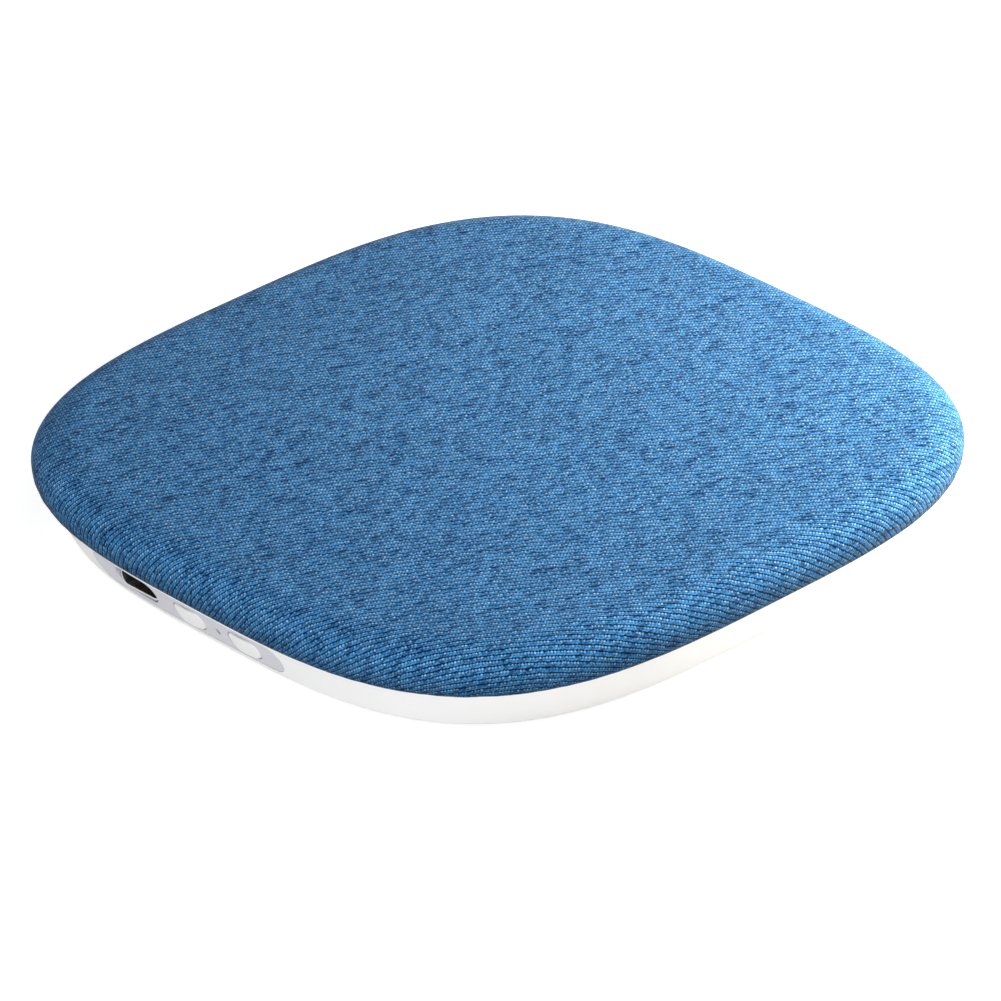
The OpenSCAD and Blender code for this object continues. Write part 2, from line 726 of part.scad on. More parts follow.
// Resistors and capacitors in two rows
module small_parts() {
    color([0.72, 0.62, 0.48]) {
        for (k = [-4:4]) chip(strip_x + k * part_pitch, chip_row_y - part_row,
            part_size[0], part_size[1], part_size[2]);
        for (k = [-2:3]) chip(strip_x + k * part_pitch * 0.75, chip_row_y + part_row * 0.85,
            part_size[1], part_size[2], part_size[2]);
    }
}

module lead_headers() {
    color([0.93, 0.92, 0.88]) for (x = header_xs) difference() {
        translate([x - header_w / 2, header_y - header_d / 2, board_top_z]) cube([header_w, header_d, header_h]);
        translate([x - header_w / 2 + header_wall, header_y, board_top_z + header_wall])
            cube([header_w - 2 * header_wall, header_d, header_h - 2 * header_wall]);
    }
}

module battery() {
    edge = cell_t * 0.3;
    color([0.76, 0.77, 0.79]) union() {
        translate([0, cell_y, cell_z]) rotate([90, 0, 0]) translate([0, 0, -cell_l / 2]) linear_extrude(cell_l)
            polygon([[-cell_w / 2, edge], [-cell_w / 2 + edge, 0], [cell_w / 2 - edge, 0], [cell_w / 2, edge],
                [cell_w / 2, cell_t - edge], [cell_w / 2 - edge, cell_t],
                [-cell_w / 2 + edge, cell_t], [-cell_w / 2, cell_t - edge]]);
        translate([-cell_w / 2 + flap_inset, cell_front_y - flap_l, flap_mid_z - flap_t / 2])
            cube([cell_w - 2 * flap_inset, flap_l + over, flap_t]);
    }
}

module battery_tape() {
    color([0.2, 0.2, 0.2]) translate([0, cell_y, floor_z])
        rounded_plate(cell_w - 2 * tape_border, cell_l - 2 * tape_border_l, tape_border / 3, tape_t);
}

module at_driver(side) { translate([side * driver_x, driver_y, 0]) children(); }

module mesh(side) {
    color([0.12, 0.12, 0.13]) at_driver(side) translate([0, 0, plate_low_z - mesh_t])
        cylinder(h = mesh_t, r = driver_r);
}

module gasket(side) {
    color([0.1, 0.1, 0.1]) at_driver(side) translate([0, 0, basket_z]) difference() {
        cylinder(h = gasket_t, r = driver_r);
        translate([0, 0, -over]) cylinder(h = gasket_t + 2 * over, r = gasket_in);
    }
}

module basket(side) {
    flange_h = 0.8;
    wall = 0.8;
    seat_z = magnet_z + pot_h - 1.5;
    ring_in_r = pot_r + seat_gap;
    color([0.25, 0.26, 0.28]) at_driver(side) difference() {
        rotate_extrude($fn = 64) polygon([[ring_in_r, seat_z], [flange_in + wall, seat_z],
            [flange_in + wall, basket_z - flange_h], [driver_r, basket_z - flange_h], [driver_r, basket_z],
            [flange_in, basket_z], [flange_in, seat_z + wall], [ring_in_r, seat_z + wall]]);
        for (k = [0:5]) rotate([0, 0, 60 * k + 30]) translate([flange_in - 1, -3, seat_z + wall + 0.3])
            cube([4, 6, basket_z - seat_z - flange_h - wall - 0.6]);
    }
}

module magnet(side) {
    floor_h = 1.2;
    magnet_h = 1.9;
    color([0.5, 0.51, 0.54]) at_driver(side) translate([0, 0, magnet_z]) rotate_extrude($fn = 64)
        polygon([[0, 0], [pot_r - 0.5, 0], [pot_r, 0.5], [pot_r, pot_h], [pot_r - pot_wall, pot_h],
            [pot_r - pot_wall, floor_h], [top_plate_r - 0.4, floor_h], [top_plate_r - 0.4, floor_h + magnet_h],
            [top_plate_r, floor_h + magnet_h], [top_plate_r, pot_h], [0, pot_h]]);
}

// Cone: rim, hanging surround, sloping cone, dust dome and voice coil, as one turned profile
module cone(side) {
    rim_r = gasket_in - 0.1;
    roll_out = flange_in - 0.1;
    roll_r = (roll_out - coil_r) * 0.19;
    roll_in = roll_out - 2 * roll_r;
    rise = basket_z + cone_t / 2;
    neck_z = basket_z - 1.6;
    crown_z = basket_z - 0.5;
    middle = concat([[rim_r, rise], [roll_out, rise]],
        [for (f = [30:30:150]) [roll_out - roll_r + roll_r * cos(f), rise - roll_r * sin(f)]],
        [[roll_in, rise], [coil_r, neck_z]],
        [for (u = [0.75, 0.5, 0.25, 0]) [coil_r * u, neck_z + (crown_z - neck_z) * (1 - u * u)]]);
    upper = [for (p = middle) [p[0], p[1] + cone_t / 2]];
    lower = [for (p = middle) [p[0], p[1] - cone_t / 2]];
    coil_low = magnet_z + pot_h - 1.8;
    color([0.16, 0.16, 0.17]) at_driver(side) union() {
        rotate_extrude($fn = 64) polygon(concat(upper, reversed(lower)));
        translate([0, 0, coil_low]) difference() {
            cylinder(h = neck_z - coil_low, r = coil_r + coil_t / 2, $fn = 64);
            translate([0, 0, -over]) cylinder(h = neck_z - coil_low + 2 * over, r = coil_r - coil_t / 2, $fn = 64);
        }
    }
}

module left_mesh() { mesh(-1); }
module right_mesh() { mesh(1); }
module left_gasket() { gasket(-1); }
module right_gasket() { gasket(1); }
module left_basket() { basket(-1); }
module right_basket() { basket(1); }
module left_magnet() { magnet(-1); }
module right_magnet() { magnet(1); }
module left_cone() { cone(-1); }
module right_cone() { cone(1); }

// Lead: a round tube along a curve from a to d, leaving towards b and arriving from c
lead_rings = 12;
lead_sides = 8;
function curve_at(p, u) = pow(1 - u, 3) * p[0] + 3 * u * pow(1 - u, 2) * p[1]
    + 3 * u * u * (1 - u) * p[2] + pow(u, 3) * p[3];
function curve_dir(p, u) = let (v = pow(1 - u, 2) * (p[1] - p[0]) + 2 * u * (1 - u) * (p[2] - p[1])
    + u * u * (p[3] - p[2])) v / norm(v);
module lead(p) {
    n = lead_sides;
    rings = [for (i = [0:lead_rings]) let (u = i / lead_rings, c = curve_at(p, u), t = curve_dir(p, u),
        side = cross(t, [0, 0, 1]) / norm(cross(t, [0, 0, 1])), up = cross(side, t))
        [for (k = [0:n - 1]) c + lead_d / 2 * (cos(360 * k / n) * side + sin(360 * k / n) * up)]];
    points = [for (ring = rings) each ring];
    sides = [for (i = [0:lead_rings - 1]) for (k = [0:n - 1])
        let (a = i * n + k, b = i * n + (k + 1) % n) each [[a, b, a + n], [b, b + n, a + n]]];
    polyhedron(points, concat([[for (k = [n - 1:-1:0]) k], [for (k = [0:n - 1]) lead_rings * n + k]], sides));
}

lead_end_y = header_y + 0.4;
lead_step = 1;

module battery_leads() {
    start = [0, cell_front_y - flap_l - seat_gap, flap_mid_z];
    color("firebrick") for (side = [-1, 1]) {
        a = start + [side * lead_step + header_xs[1] / 2, 0, 0];
        d = [header_xs[1] + side * lead_step, lead_end_y, lead_z];
        span = a[1] - d[1];
        lead([a, a - [0, 0.2 * span, 0], d + [0, 0.24 * span, 0], d]);
    }
}

module driver_leads() {
    color([0.1, 0.1, 0.1]) for (side = [-1, 1], k = [-1, 1]) {
        x = side < 0 ? header_xs[0] : header_xs[2];
        a = [side * driver_x + k * lead_step, driver_y - driver_r - lead_d / 2 - seat_gap, basket_z - 0.4];
        d = [x + k * lead_step, lead_end_y, lead_z];
        span = a[1] - d[1];
        lead([a, a - [0, 0.37 * span, 0], d + [0, 0.32 * span, 0], d]);
    }
}

module case_screws() {
    color([0.6, 0.6, 0.62]) for (p = case_screws_at) translate([p[0], p[1], pocket_top_z])
        screw(case_screw_d, case_head_d, case_head_h, case_screw_l);
}

module board_screws() {
    head_h = 0.9;
    length = board_top_z - floor_z - board_screw_short;
    color([0.6, 0.6, 0.62]) for (p = board_screws_at) translate([p[0], p[1], board_top_z]) mirror([0, 0, 1])
        screw(board_screw_d, board_head_d, head_h, length);
}

denim_cover();
foam_pad();
top_shell();
bottom_shell();
base_pad();
control_strip();
left_button();
right_button();
left_plunger();
right_plunger();
left_switch();
right_switch();
port_shell();
port_tongue();
port_contacts();
microphone();
microphone_boot();
main_board();
audio_chip();
power_chip();
memory_chip();
inductor();
crystal();
small_parts();
lead_headers();
battery();
battery_tape();
left_mesh();
right_mesh();
left_gasket();
right_gasket();
left_basket();
right_basket();
left_magnet();
right_magnet();
left_cone();
right_cone();
battery_leads();
driver_leads();
case_screws();
board_screws();
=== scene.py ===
import json
import math

import bmesh
import bpy
from mathutils import Matrix, Vector, noise
from mathutils.geometry import delaunay_2d_cdt


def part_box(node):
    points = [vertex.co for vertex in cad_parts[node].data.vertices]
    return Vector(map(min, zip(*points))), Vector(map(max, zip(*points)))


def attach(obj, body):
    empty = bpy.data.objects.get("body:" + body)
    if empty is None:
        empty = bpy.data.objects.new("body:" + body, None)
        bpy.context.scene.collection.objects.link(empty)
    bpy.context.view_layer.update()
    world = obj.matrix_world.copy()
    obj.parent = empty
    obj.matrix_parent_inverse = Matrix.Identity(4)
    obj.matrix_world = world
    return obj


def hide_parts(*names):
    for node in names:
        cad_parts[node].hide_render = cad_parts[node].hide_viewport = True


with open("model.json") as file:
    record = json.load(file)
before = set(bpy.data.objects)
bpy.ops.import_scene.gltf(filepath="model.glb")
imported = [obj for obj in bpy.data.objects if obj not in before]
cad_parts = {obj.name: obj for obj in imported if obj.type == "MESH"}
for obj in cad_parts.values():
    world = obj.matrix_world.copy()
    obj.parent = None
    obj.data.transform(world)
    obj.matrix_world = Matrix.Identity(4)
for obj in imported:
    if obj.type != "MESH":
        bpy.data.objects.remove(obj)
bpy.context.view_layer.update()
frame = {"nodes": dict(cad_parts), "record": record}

bl_info = {
    "name": "Pillow speaker",
    "version": (1, 0, 0),
    "blender": (4, 5, 0),
    "location": "3D View > Sidebar > Pillow speaker",
    "description": "Dresses the solids of a denim-topped pillow speaker and lights them",
    "category": "Object",
}

BODY = "speaker"
MM = 0.001

# Sizes that the solids have too, in millimetres
SQUARENESS = 3.25
HALF_W = 60.0
PAD_STAND = 0.6
SEAM_Z = 7.7
RIM_Z = 10.4
SHOULDER_W = 6.0
SHOULDER_H = 4.2
SHOULDER_Z = RIM_Z + SHOULDER_H
DOME_RISE = 1.8
DOME_FLAT = 8.0
TOP_Z = SHOULDER_Z + DOME_RISE
SKIRT_TUCK = 1.0
FABRIC_T = 0.9
SOFT_GAP = 0.1
SEAT_GAP = 0.05
FIT_GAP = 0.2
HEM_LOW_Z = SEAM_Z + SOFT_GAP
HEM_TOP_Z = HEM_LOW_Z + FABRIC_T
WALL_SLOPE = math.radians(24.4)
WALL_T = 2.0
FLOOR_T = 2.0
FLOOR_Z = PAD_STAND + FLOOR_T
EDGE_R = 1.2
SEAM_STEP = 0.25
CASE_TOP_HALF = HALF_W - SKIRT_TUCK - SEAM_STEP
TONGUE_T = 1.2
TONGUE_H = 1.4
PLATE_LAP = 1.0
FOAM_SEAT = 0.3
PAD_T = 1.2
PAD_BORDER = 5.0
GROOVES = 4
GROOVE_PITCH = 3.0
GROOVE_W = 1.0
STRIP_L = 42.4
STRIP_H = 4.9
STRIP_T = 0.8
STRIP_X = -4.3
STRIP_DROP = 0.9
STRIP_Z = SEAM_Z - STRIP_DROP - STRIP_H / 2
PANEL_MIN = 1.0
PANEL_EAR = 2.0
PORT_X = STRIP_X - 10.8
PORT_Z = STRIP_Z + 0.2
PORT_W = 9.4
PORT_H = 3.8
PORT_BEVEL = 0.25
BUTTON_XS = {"left": STRIP_X + 1.3, "right": STRIP_X + 13.3}
BUTTON_L = 6.6
BUTTON_H = 3.3
BUTTON_PROUD = 0.55
BUTTON_GAP = 0.12
CROWN_R = 9.5
TRAVEL = 0.35
NECK_DROP = 0.25
FLANGE_T = 0.7
FLANGE_EAR = 0.75
NUB_L = 0.3
NUB_D = 2.0
PINHOLE_X = STRIP_X + 7.6
PINHOLE_D = 1.0
CASE_BOSS_D = 7.0
BOSS_RISE = 1.7
POST_D = 5.0
HEAD_R = {"case_screws": 2.2, "board_screws": 1.7}
HEAD_HOLE_R = 2.4
SCREW_HOLE_R = 1.4
POCKET_TOP_Z = 2.4
CORE_R = 0.825
TAPE_BORDER = 3.0
TAPE_BORDER_L = 4.0
RAIL_T = 1.2
RAIL_H = 2.4
RAIL_GAP = 0.4


def case_half(z):
    """Half-width of the case's sloping wall at height z."""
    return CASE_TOP_HALF - (SEAM_Z - z) * math.tan(WALL_SLOPE)


BASE_HALF = case_half(PAD_STAND) - EDGE_R / math.tan((math.pi / 2 + WALL_SLOPE) / 2)
PAD_HALF = BASE_HALF - PAD_BORDER
TONGUE_OUT = case_half(SEAM_Z - TONGUE_H) - WALL_T - FIT_GAP
HEM_HALF = TONGUE_OUT + 2 * FIT_GAP


def outline_y(half, x):
    """Distance of the rounded-square outline from the x axis."""
    return half * (1 - (abs(x) / half) ** SQUARENESS) ** (1 / SQUARENESS)


def wall_y(x, z):
    """Place of the case's front wall at x and height z."""
    return -outline_y(case_half(z), x)


STRIP_LOW_Z = STRIP_Z - STRIP_H / 2
PANEL_Y = -(outline_y(case_half(STRIP_LOW_Z), abs(STRIP_X) + STRIP_L / 2) - STRIP_T - PANEL_MIN)
PANEL_HALF_L = STRIP_L / 2 + PANEL_EAR


def outline_at(half, angle):
    """Point of the rounded-square outline at an angle."""
    c, s = math.cos(angle), math.sin(angle)
    r = half / (abs(c) ** SQUARENESS + abs(s) ** SQUARENESS) ** (1 / SQUARENESS)
    return r * c, r * s


def outline_area(half, count=720):
    """Area inside the rounded-square outline."""
    loop = [outline_at(half, 2 * math.pi * k / count) for k in range(count + 1)]
    return sum(ax * by - bx * ay for (ax, ay), (bx, by) in zip(loop, loop[1:])) / 2


# Meshes

def make_mesh(name, points, faces, crease=30):
    """Object from millimetre points, smooth apart from edges sharper than crease degrees."""
    mesh = bpy.data.meshes.new(name)
    mesh.from_pydata([Vector(p) * MM for p in points], [], faces)
    mesh.validate()
    mesh.update()
    smooth(mesh, crease)
    piece = bpy.data.objects.new(name, mesh)
    bpy.context.scene.collection.objects.link(piece)
    return piece


def smooth(mesh, crease):
    mesh.shade_smooth()
    mesh.set_sharp_from_angle(angle=math.radians(crease))


def loft(name, rings, count=320, closed=False, crease=30):
    """Skin through rounded-square rings of (half-width, height)."""
    angles = [2 * math.pi * k / count for k in range(count)]
    points = [(*outline_at(half, a), z) for half, z in rings for a in angles]
    faces = []
    total = len(rings)
    for j in range(total if closed else total - 1):
        low, high = j * count, (j + 1) % total * count
        for k in range(count):
            near = (k + 1) % count
            faces.append((low + k, low + near, high + near, high + k))
    if not closed:
        for ring, flip in ((0, True), (total - 1, False)):
            middle = len(points)
            points.append((0, 0, rings[ring][1]))
            for k in range(count):
                pair = (ring * count + k, ring * count + (k + 1) % count)
                faces.append((middle, *(reversed(pair) if flip else pair)))
    return make_mesh(name, points, faces, crease)


def arc(cx, cz, rx, rz, start, end, count):
    """Points of an ellipse's arc between two angles in degrees."""
    turns = [math.radians(start + (end - start) * i / count) for i in range(count + 1)]
    return [(cx + rx * math.cos(a), cz + rz * math.sin(a)) for a in turns]


def oval(length, height, x, z, count=96):
    """Slot outline in the x-z plane as a function of its inset."""
    def inset(e):
        r = height / 2 - e
        straight = max(length - height, 0)
        turn = count // 2
        loop = []
        for k in range(turn):
            a = -math.pi / 2 + math.pi * k / turn
            loop.append((x + straight / 2 + r * math.cos(a), z + r * math.sin(a)))
        rows = max(count // 6, 2) if straight else 0
        for k in range(rows):
            loop.append((x + straight / 2 - straight * k / rows, z + r))
        for k in range(turn):
            a = math.pi / 2 + math.pi * k / turn
            loop.append((x - straight / 2 + r * math.cos(a), z + r * math.sin(a)))
        for k in range(rows):
            loop.append((x - straight / 2 + straight * k / rows, z - r))
        return loop
    return inset


def box_outline(low_x, high_x, low_z, high_z):
    """Rectangle in the x-z plane as a function of its inset."""
    def inset(e):
        corners = [(low_x + e, low_z + e), (high_x - e, low_z + e),
                   (high_x - e, high_z - e), (low_x + e, high_z - e)]
        loop = []
        for (ax, az), (bx, bz) in zip(corners, corners[1:] + corners[:1]):
            parts = max(int(math.hypot(bx - ax, bz - az)), 1)
            loop += [(ax + (bx - ax) * k / parts, az + (bz - az) * k / parts) for k in range(parts)]
        return loop
    return inset


def openings():
    """Outlines of the port, the two buttons' holes and the pinhole."""
    holes = [oval(PORT_W, PORT_H, PORT_X, PORT_Z)]
    for x in BUTTON_XS.values():
        holes.append(oval(BUTTON_L + 2 * BUTTON_GAP, BUTTON_H + 2 * BUTTON_GAP, x, STRIP_Z))
    holes.append(oval(PINHOLE_D, PINHOLE_D, PINHOLE_X, STRIP_Z, 40))
    return holes


def inside(point, loop):
    """Whether a point is within a closed loop."""
    x, z = point
    hit = False
    for (ax, az), (bx, bz) in zip(loop, loop[1:] + loop[:1]):
        if (az > z) != (bz > z) and x < (bx - ax) * (z - az) / (bz - az) + ax:
            hit = not hit
    return hit


def clear_of(point, loop, gap):
    """Whether a point is more than a gap away from each point of a loop."""
    x, z = point
    return all((x - a) ** 2 + (z - b) ** 2 > gap * gap for a, b in loop)


def slab(name, outer, holes, front, back, edge=0.0, hole_edges=(), grid=0.6, crease=35):
    """Closed slab over a region of the x-z plane, with rounded front edges.

    front and back give y at (x, z); outer and each hole give a loop for an inset.
    """
    outer_loop = outer(edge)
    hole_loops = [hole(-r) for hole, r in zip(holes, hole_edges)]
    flat, borders = [], []
    for loop in [outer_loop] + hole_loops:
        borders.append(range(len(flat), len(flat) + len(loop)))
        flat += loop
    fixed = [(b[i], b[(i + 1) % len(b)]) for b in borders for i in range(len(b))]
    xs, zs = [p[0] for p in outer_loop], [p[1] for p in outer_loop]
    columns = int((max(xs) - min(xs)) / grid) + 1
    rows = int((max(zs) - min(zs)) / grid) + 1
    for i in range(1, columns):
        for j in range(1, rows):
            p = (min(xs) + (max(xs) - min(xs)) * i / columns, min(zs) + (max(zs) - min(zs)) * j / rows)
            if inside(p, outer_loop) and not any(inside(p, h) for h in hole_loops):
                if all(clear_of(p, loop, grid * 0.45) for loop in [outer_loop] + hole_loops):
                    flat.append(p)
    sheet, _, triangles, origins, _, _ = delaunay_2d_cdt([Vector(p) for p in flat], fixed, [], 0, 1e-6)
    where = {old: new for new, olds in enumerate(origins) for old in olds}
    points = [(p.x, front(p.x, p.y), p.y) for p in sheet]
    faces = []
    for corners in triangles:
        middle = sum((sheet[i] for i in corners), Vector((0, 0))) / 3
        if inside(middle, outer_loop) and not any(inside(middle, h) for h in hole_loops):
            faces.append(tuple(corners))
    count = len(points)
    points += [(p.x, back(p.x, p.y), p.y) for p in sheet]
    faces += [tuple(count + i for i in reversed(corners)) for corners in list(faces)]
    rims = []
    signs = [1] + [-1] * len(holes)
    for b, shape, r, sign in zip(borders, [outer] + holes, [edge, *hole_edges], signs):
        rings = [[where[i] for i in b]]
        rounded = r > 0.02
        turns = 5 if rounded else 0
        for t in range(1, turns + 1):
            a = math.pi / 2 * t / turns
            loop = shape(sign * r * (1 - math.sin(a)))
            start = len(points)
            points += [(x, front(x, z) + r * (1 - math.cos(a)), z) for x, z in loop]
            rings.append(list(range(start, start + len(loop))))
        rings.append([count + where[i] for i in b])
        if rounded:
            # The back's border widens to the rounded edge's outer line
            for i, (x, z) in zip(rings[-1], shape(0.0)):
                points[i] = (x, back(x, z), z)
        rims.append((rings, sign))
    for rings, sign in rims:
        for a, b in zip(rings, rings[1:]):
            for k in range(len(a)):
                n = (k + 1) % len(a)
                quad = (a[k], a[n], b[n], b[k])
                faces.append(quad if sign < 0 else tuple(reversed(quad)))
    piece = make_mesh(name, points, faces, crease)
    face_out(piece)
    return piece


def face_out(piece):
    """Turns every face of a closed piece outwards."""
    work = bmesh.new()
    work.from_mesh(piece.data)
    bmesh.ops.recalc_face_normals(work, faces=work.faces)
    work.to_mesh(piece.data)
    work.free()


def turned(name, profile, centre, count=48, crease=40):
    """Solid of revolution about a vertical axis, from (radius, height) with both ends on the axis."""
    points, faces, rings = [], [], []
    for r, z in profile:
        if r < 1e-6:
            rings.append([len(points)])
            points.append((centre[0], centre[1], z))
        else:
            rings.append(list(range(len(points), len(points) + count)))
            points += [(centre[0] + r * math.cos(2 * math.pi * k / count),
                        centre[1] + r * math.sin(2 * math.pi * k / count), z) for k in range(count)]
    for a, b in zip(rings, rings[1:]):
        for k in range(count):
            n = (k + 1) % count
            if len(a) == 1:
                faces.append((a[0], b[k], b[n]))
            elif len(b) == 1:
                faces.append((a[k], a[n], b[0]))
            else:
                faces.append((a[k], a[n], b[n], b[k]))
    piece = make_mesh(name, points, faces, crease)
    face_out(piece)
    return piece


def rounded_bar(name, l, w, r, centre, low_z, high_z):
    """Upright plate with round corners."""
    loop = []
    for cx, cy, start in ((l / 2 - r, w / 2 - r, 0), (r - l / 2, w / 2 - r, 90),
                          (r - l / 2, r - w / 2, 180), (l / 2 - r, r - w / 2, 270)):
        loop += [(centre[0] + x, centre[1] + y) for x, y in arc(cx, cy, r, r, start, start + 90, 8)]
    count = len(loop)
    points = [(x, y, z) for z in (low_z, high_z) for x, y in loop]
    faces = [tuple(reversed(range(count))), tuple(range(count, 2 * count))]
    faces += [(k, (k + 1) % count, count + (k + 1) % count, count + k) for k in range(count)]
    return make_mesh(name, points, faces)


def combine(base, others, operation, crease=30):
    """Joins others to a piece or cuts them from it, and takes them away."""
    group = bpy.data.collections.new(operation.lower())
    bpy.context.scene.collection.children.link(group)
    for other in others:
        group.objects.link(other)
    change = base.modifiers.new("combine", "BOOLEAN")
    change.operation = operation
    change.operand_type = "COLLECTION"
    change.collection = group
    change.solver = "EXACT"
    ready = base.evaluated_get(bpy.context.evaluated_depsgraph_get())
    mesh = bpy.data.meshes.new_from_object(ready)
    if len(mesh.polygons) < 8:
        raise RuntimeError(f"{base.name} is empty after {operation.lower()}")
    base.modifiers.clear()
    old, base.data = base.data, mesh
    mesh.name = base.name
    bpy.data.meshes.remove(old)
    for other in others:
        bpy.data.meshes.remove(other.data)
    bpy.data.collections.remove(group)
    smooth(mesh, crease)


def dress(piece, material, nodes, body=BODY):
    """Gives a piece its finish, slot and body, and hides the solids that it stands for."""
    piece.data.materials.clear()
    piece.data.materials.append(material)
    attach(piece, body)
    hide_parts(*nodes)


# Finishes

class Socket:
    """A node's output; arithmetic on one that holds a number adds Math nodes."""

    def __init__(self, finish, output):
        self.finish = finish
        self.output = output

    def math(self, operation, *values):
        return self.finish.add("Math", {"operation": operation}, dict(enumerate(values)))

    def __add__(self, other):
        return self.math("ADD", self, other)

    def __radd__(self, other):
        return self.math("ADD", other, self)

    def __sub__(self, other):
        return self.math("SUBTRACT", self, other)

    def __rsub__(self, other):
        return self.math("SUBTRACT", other, self)

    def __mul__(self, other):
        return self.math("MULTIPLY", self, other)

    def __rmul__(self, other):
        return self.math("MULTIPLY", other, self)

    def __truediv__(self, other):
        return self.math("DIVIDE", self, other)

    def __pow__(self, other):
        return self.math("POWER", self, other)

    def floor(self):
        return self.math("FLOOR", self)

    def fract(self):
        return self.math("FRACT", self)

    def sin(self):
        return self.math("SINE", self)

    def size(self):
        return self.math("ABSOLUTE", self)

    def at_most(self, other):
        return self.math("MINIMUM", self, other)

    def at_least(self, other):
        return self.math("MAXIMUM", self, other)

    def held(self):
        """The number kept between 0 and 1."""
        return self.at_most(1.0).at_least(0.0)

    def step(self, low, high):
        """Smooth step from 0 at low to 1 at high."""
        return self.finish.add("MapRange", {"interpolation_type": "SMOOTHSTEP", "clamp": True},
                               {"Value": self, "From Min": low, "From Max": high})


class Finish:
    """A material under construction."""

    def __init__(self, name, **constants):
        self.material = bpy.data.materials.new(name)
        self.material.use_nodes = True
        self.tree = self.material.node_tree
        self.shader = self.tree.nodes["Principled BSDF"]
        for socket, value in constants.items():
            self.shader.inputs[socket.replace("_", " ")].default_value = value

    def add(self, kind, settings=None, inputs=None, output=0):
        """Adds a node, its settings before its sockets, and returns one of its outputs."""
        node = self.tree.nodes.new("ShaderNode" + kind)
        for name, value in (settings or {}).items():
            setattr(node, name, value)
        for name, value in (inputs or {}).items():
            self.join(value, node.inputs[name])
        return Socket(self, node.outputs[output])

    def join(self, value, target):
        """Links a socket to a node's input, or sets the input to a constant."""
        if isinstance(value, Socket):
            self.tree.links.new(value.output, target)
        elif hasattr(value, "__len__") and target.type == "RGBA":
            target.default_value = (*tuple(value)[:3], 1)
        else:
            target.default_value = value

    def feed(self, socket, value):
        """Gives the shader's input a value."""
        self.join(value, self.shader.inputs[socket])

    def place(self):
        """The place on the piece in metres."""
        return self.add("TexCoord", output="Object")

    def parts(self, vector):
        node = self.tree.nodes.new("ShaderNodeSeparateXYZ")
        self.join(vector, node.inputs[0])
        return [Socket(self, out) for out in node.outputs]

    def vector(self, x, y, z):
        return self.add("CombineXYZ", inputs={0: x, 1: y, 2: z})

    def stretch(self, vector, factors):
        return self.add("VectorMath", {"operation": "MULTIPLY"}, {0: vector, 1: factors})

    def blend(self, share, a, b):
        """Colour from a at share 0 to b at share 1."""
        return self.add("Mix", {"data_type": "RGBA"}, {0: share, 6: a, 7: b}, output=2)

    def dim(self, colour, factor):
        """Colour times a number."""
        return self.add("VectorMath", {"operation": "SCALE"}, {0: colour, "Scale": factor})

    def cloud(self, vector, scale, detail=3.0, rough=0.55):
        """Soft noise from 0 to 1."""
        return self.add("TexNoise", {"noise_dimensions": "3D"},
                        {"Vector": vector, "Scale": scale, "Detail": detail, "Roughness": rough})

    def bump(self, height, distance, strength=1.0):
        return self.add("Bump", inputs={"Height": height, "Distance": distance, "Strength": strength})


def moulded(name, colour, rough=0.45, grain=0.00022, depth=0.00001, mottle=0.05, wear=0.04, **constants):
    """Moulded plastic: a fine spark grain, faint cloudiness and a varying shine."""
    f = Finish(name, **constants)
    place = f.place()
    spark = f.cloud(place, 1 / grain, 2.0, 0.6)
    broad = f.cloud(place, 55.0, 3.0)
    level = 1 - mottle * (1 - broad) - wear * (spark - 0.5)
    f.feed("Base Color", f.dim(colour, level))
    f.feed("Roughness", rough + 0.12 * (broad - 0.5) + 0.08 * (spark - 0.5))
    f.feed("Normal", f.bump(spark, depth))
    return f.material


def rolled(name, colour, rough=0.3, along=(1, 1, 1), depth=0.000004, tint=0.1, **constants):
    """Rolled, plated or machined metal: fine lines along one way and dull patches."""
    f = Finish(name, Metallic=1.0, **constants)
    place = f.place()
    lines = f.cloud(f.stretch(place, along), 2600.0, 2.0)
    patches = f.cloud(place, 320.0, 4.0)
    level = 1 - tint * (1 - lines) - tint * (patches - 0.5)
    f.feed("Base Color", f.dim(colour, level))
    f.feed("Roughness", rough + 0.15 * (patches - 0.5) + 0.12 * (lines - 0.5))
    f.feed("Normal", f.bump(lines, depth))
    return f.material


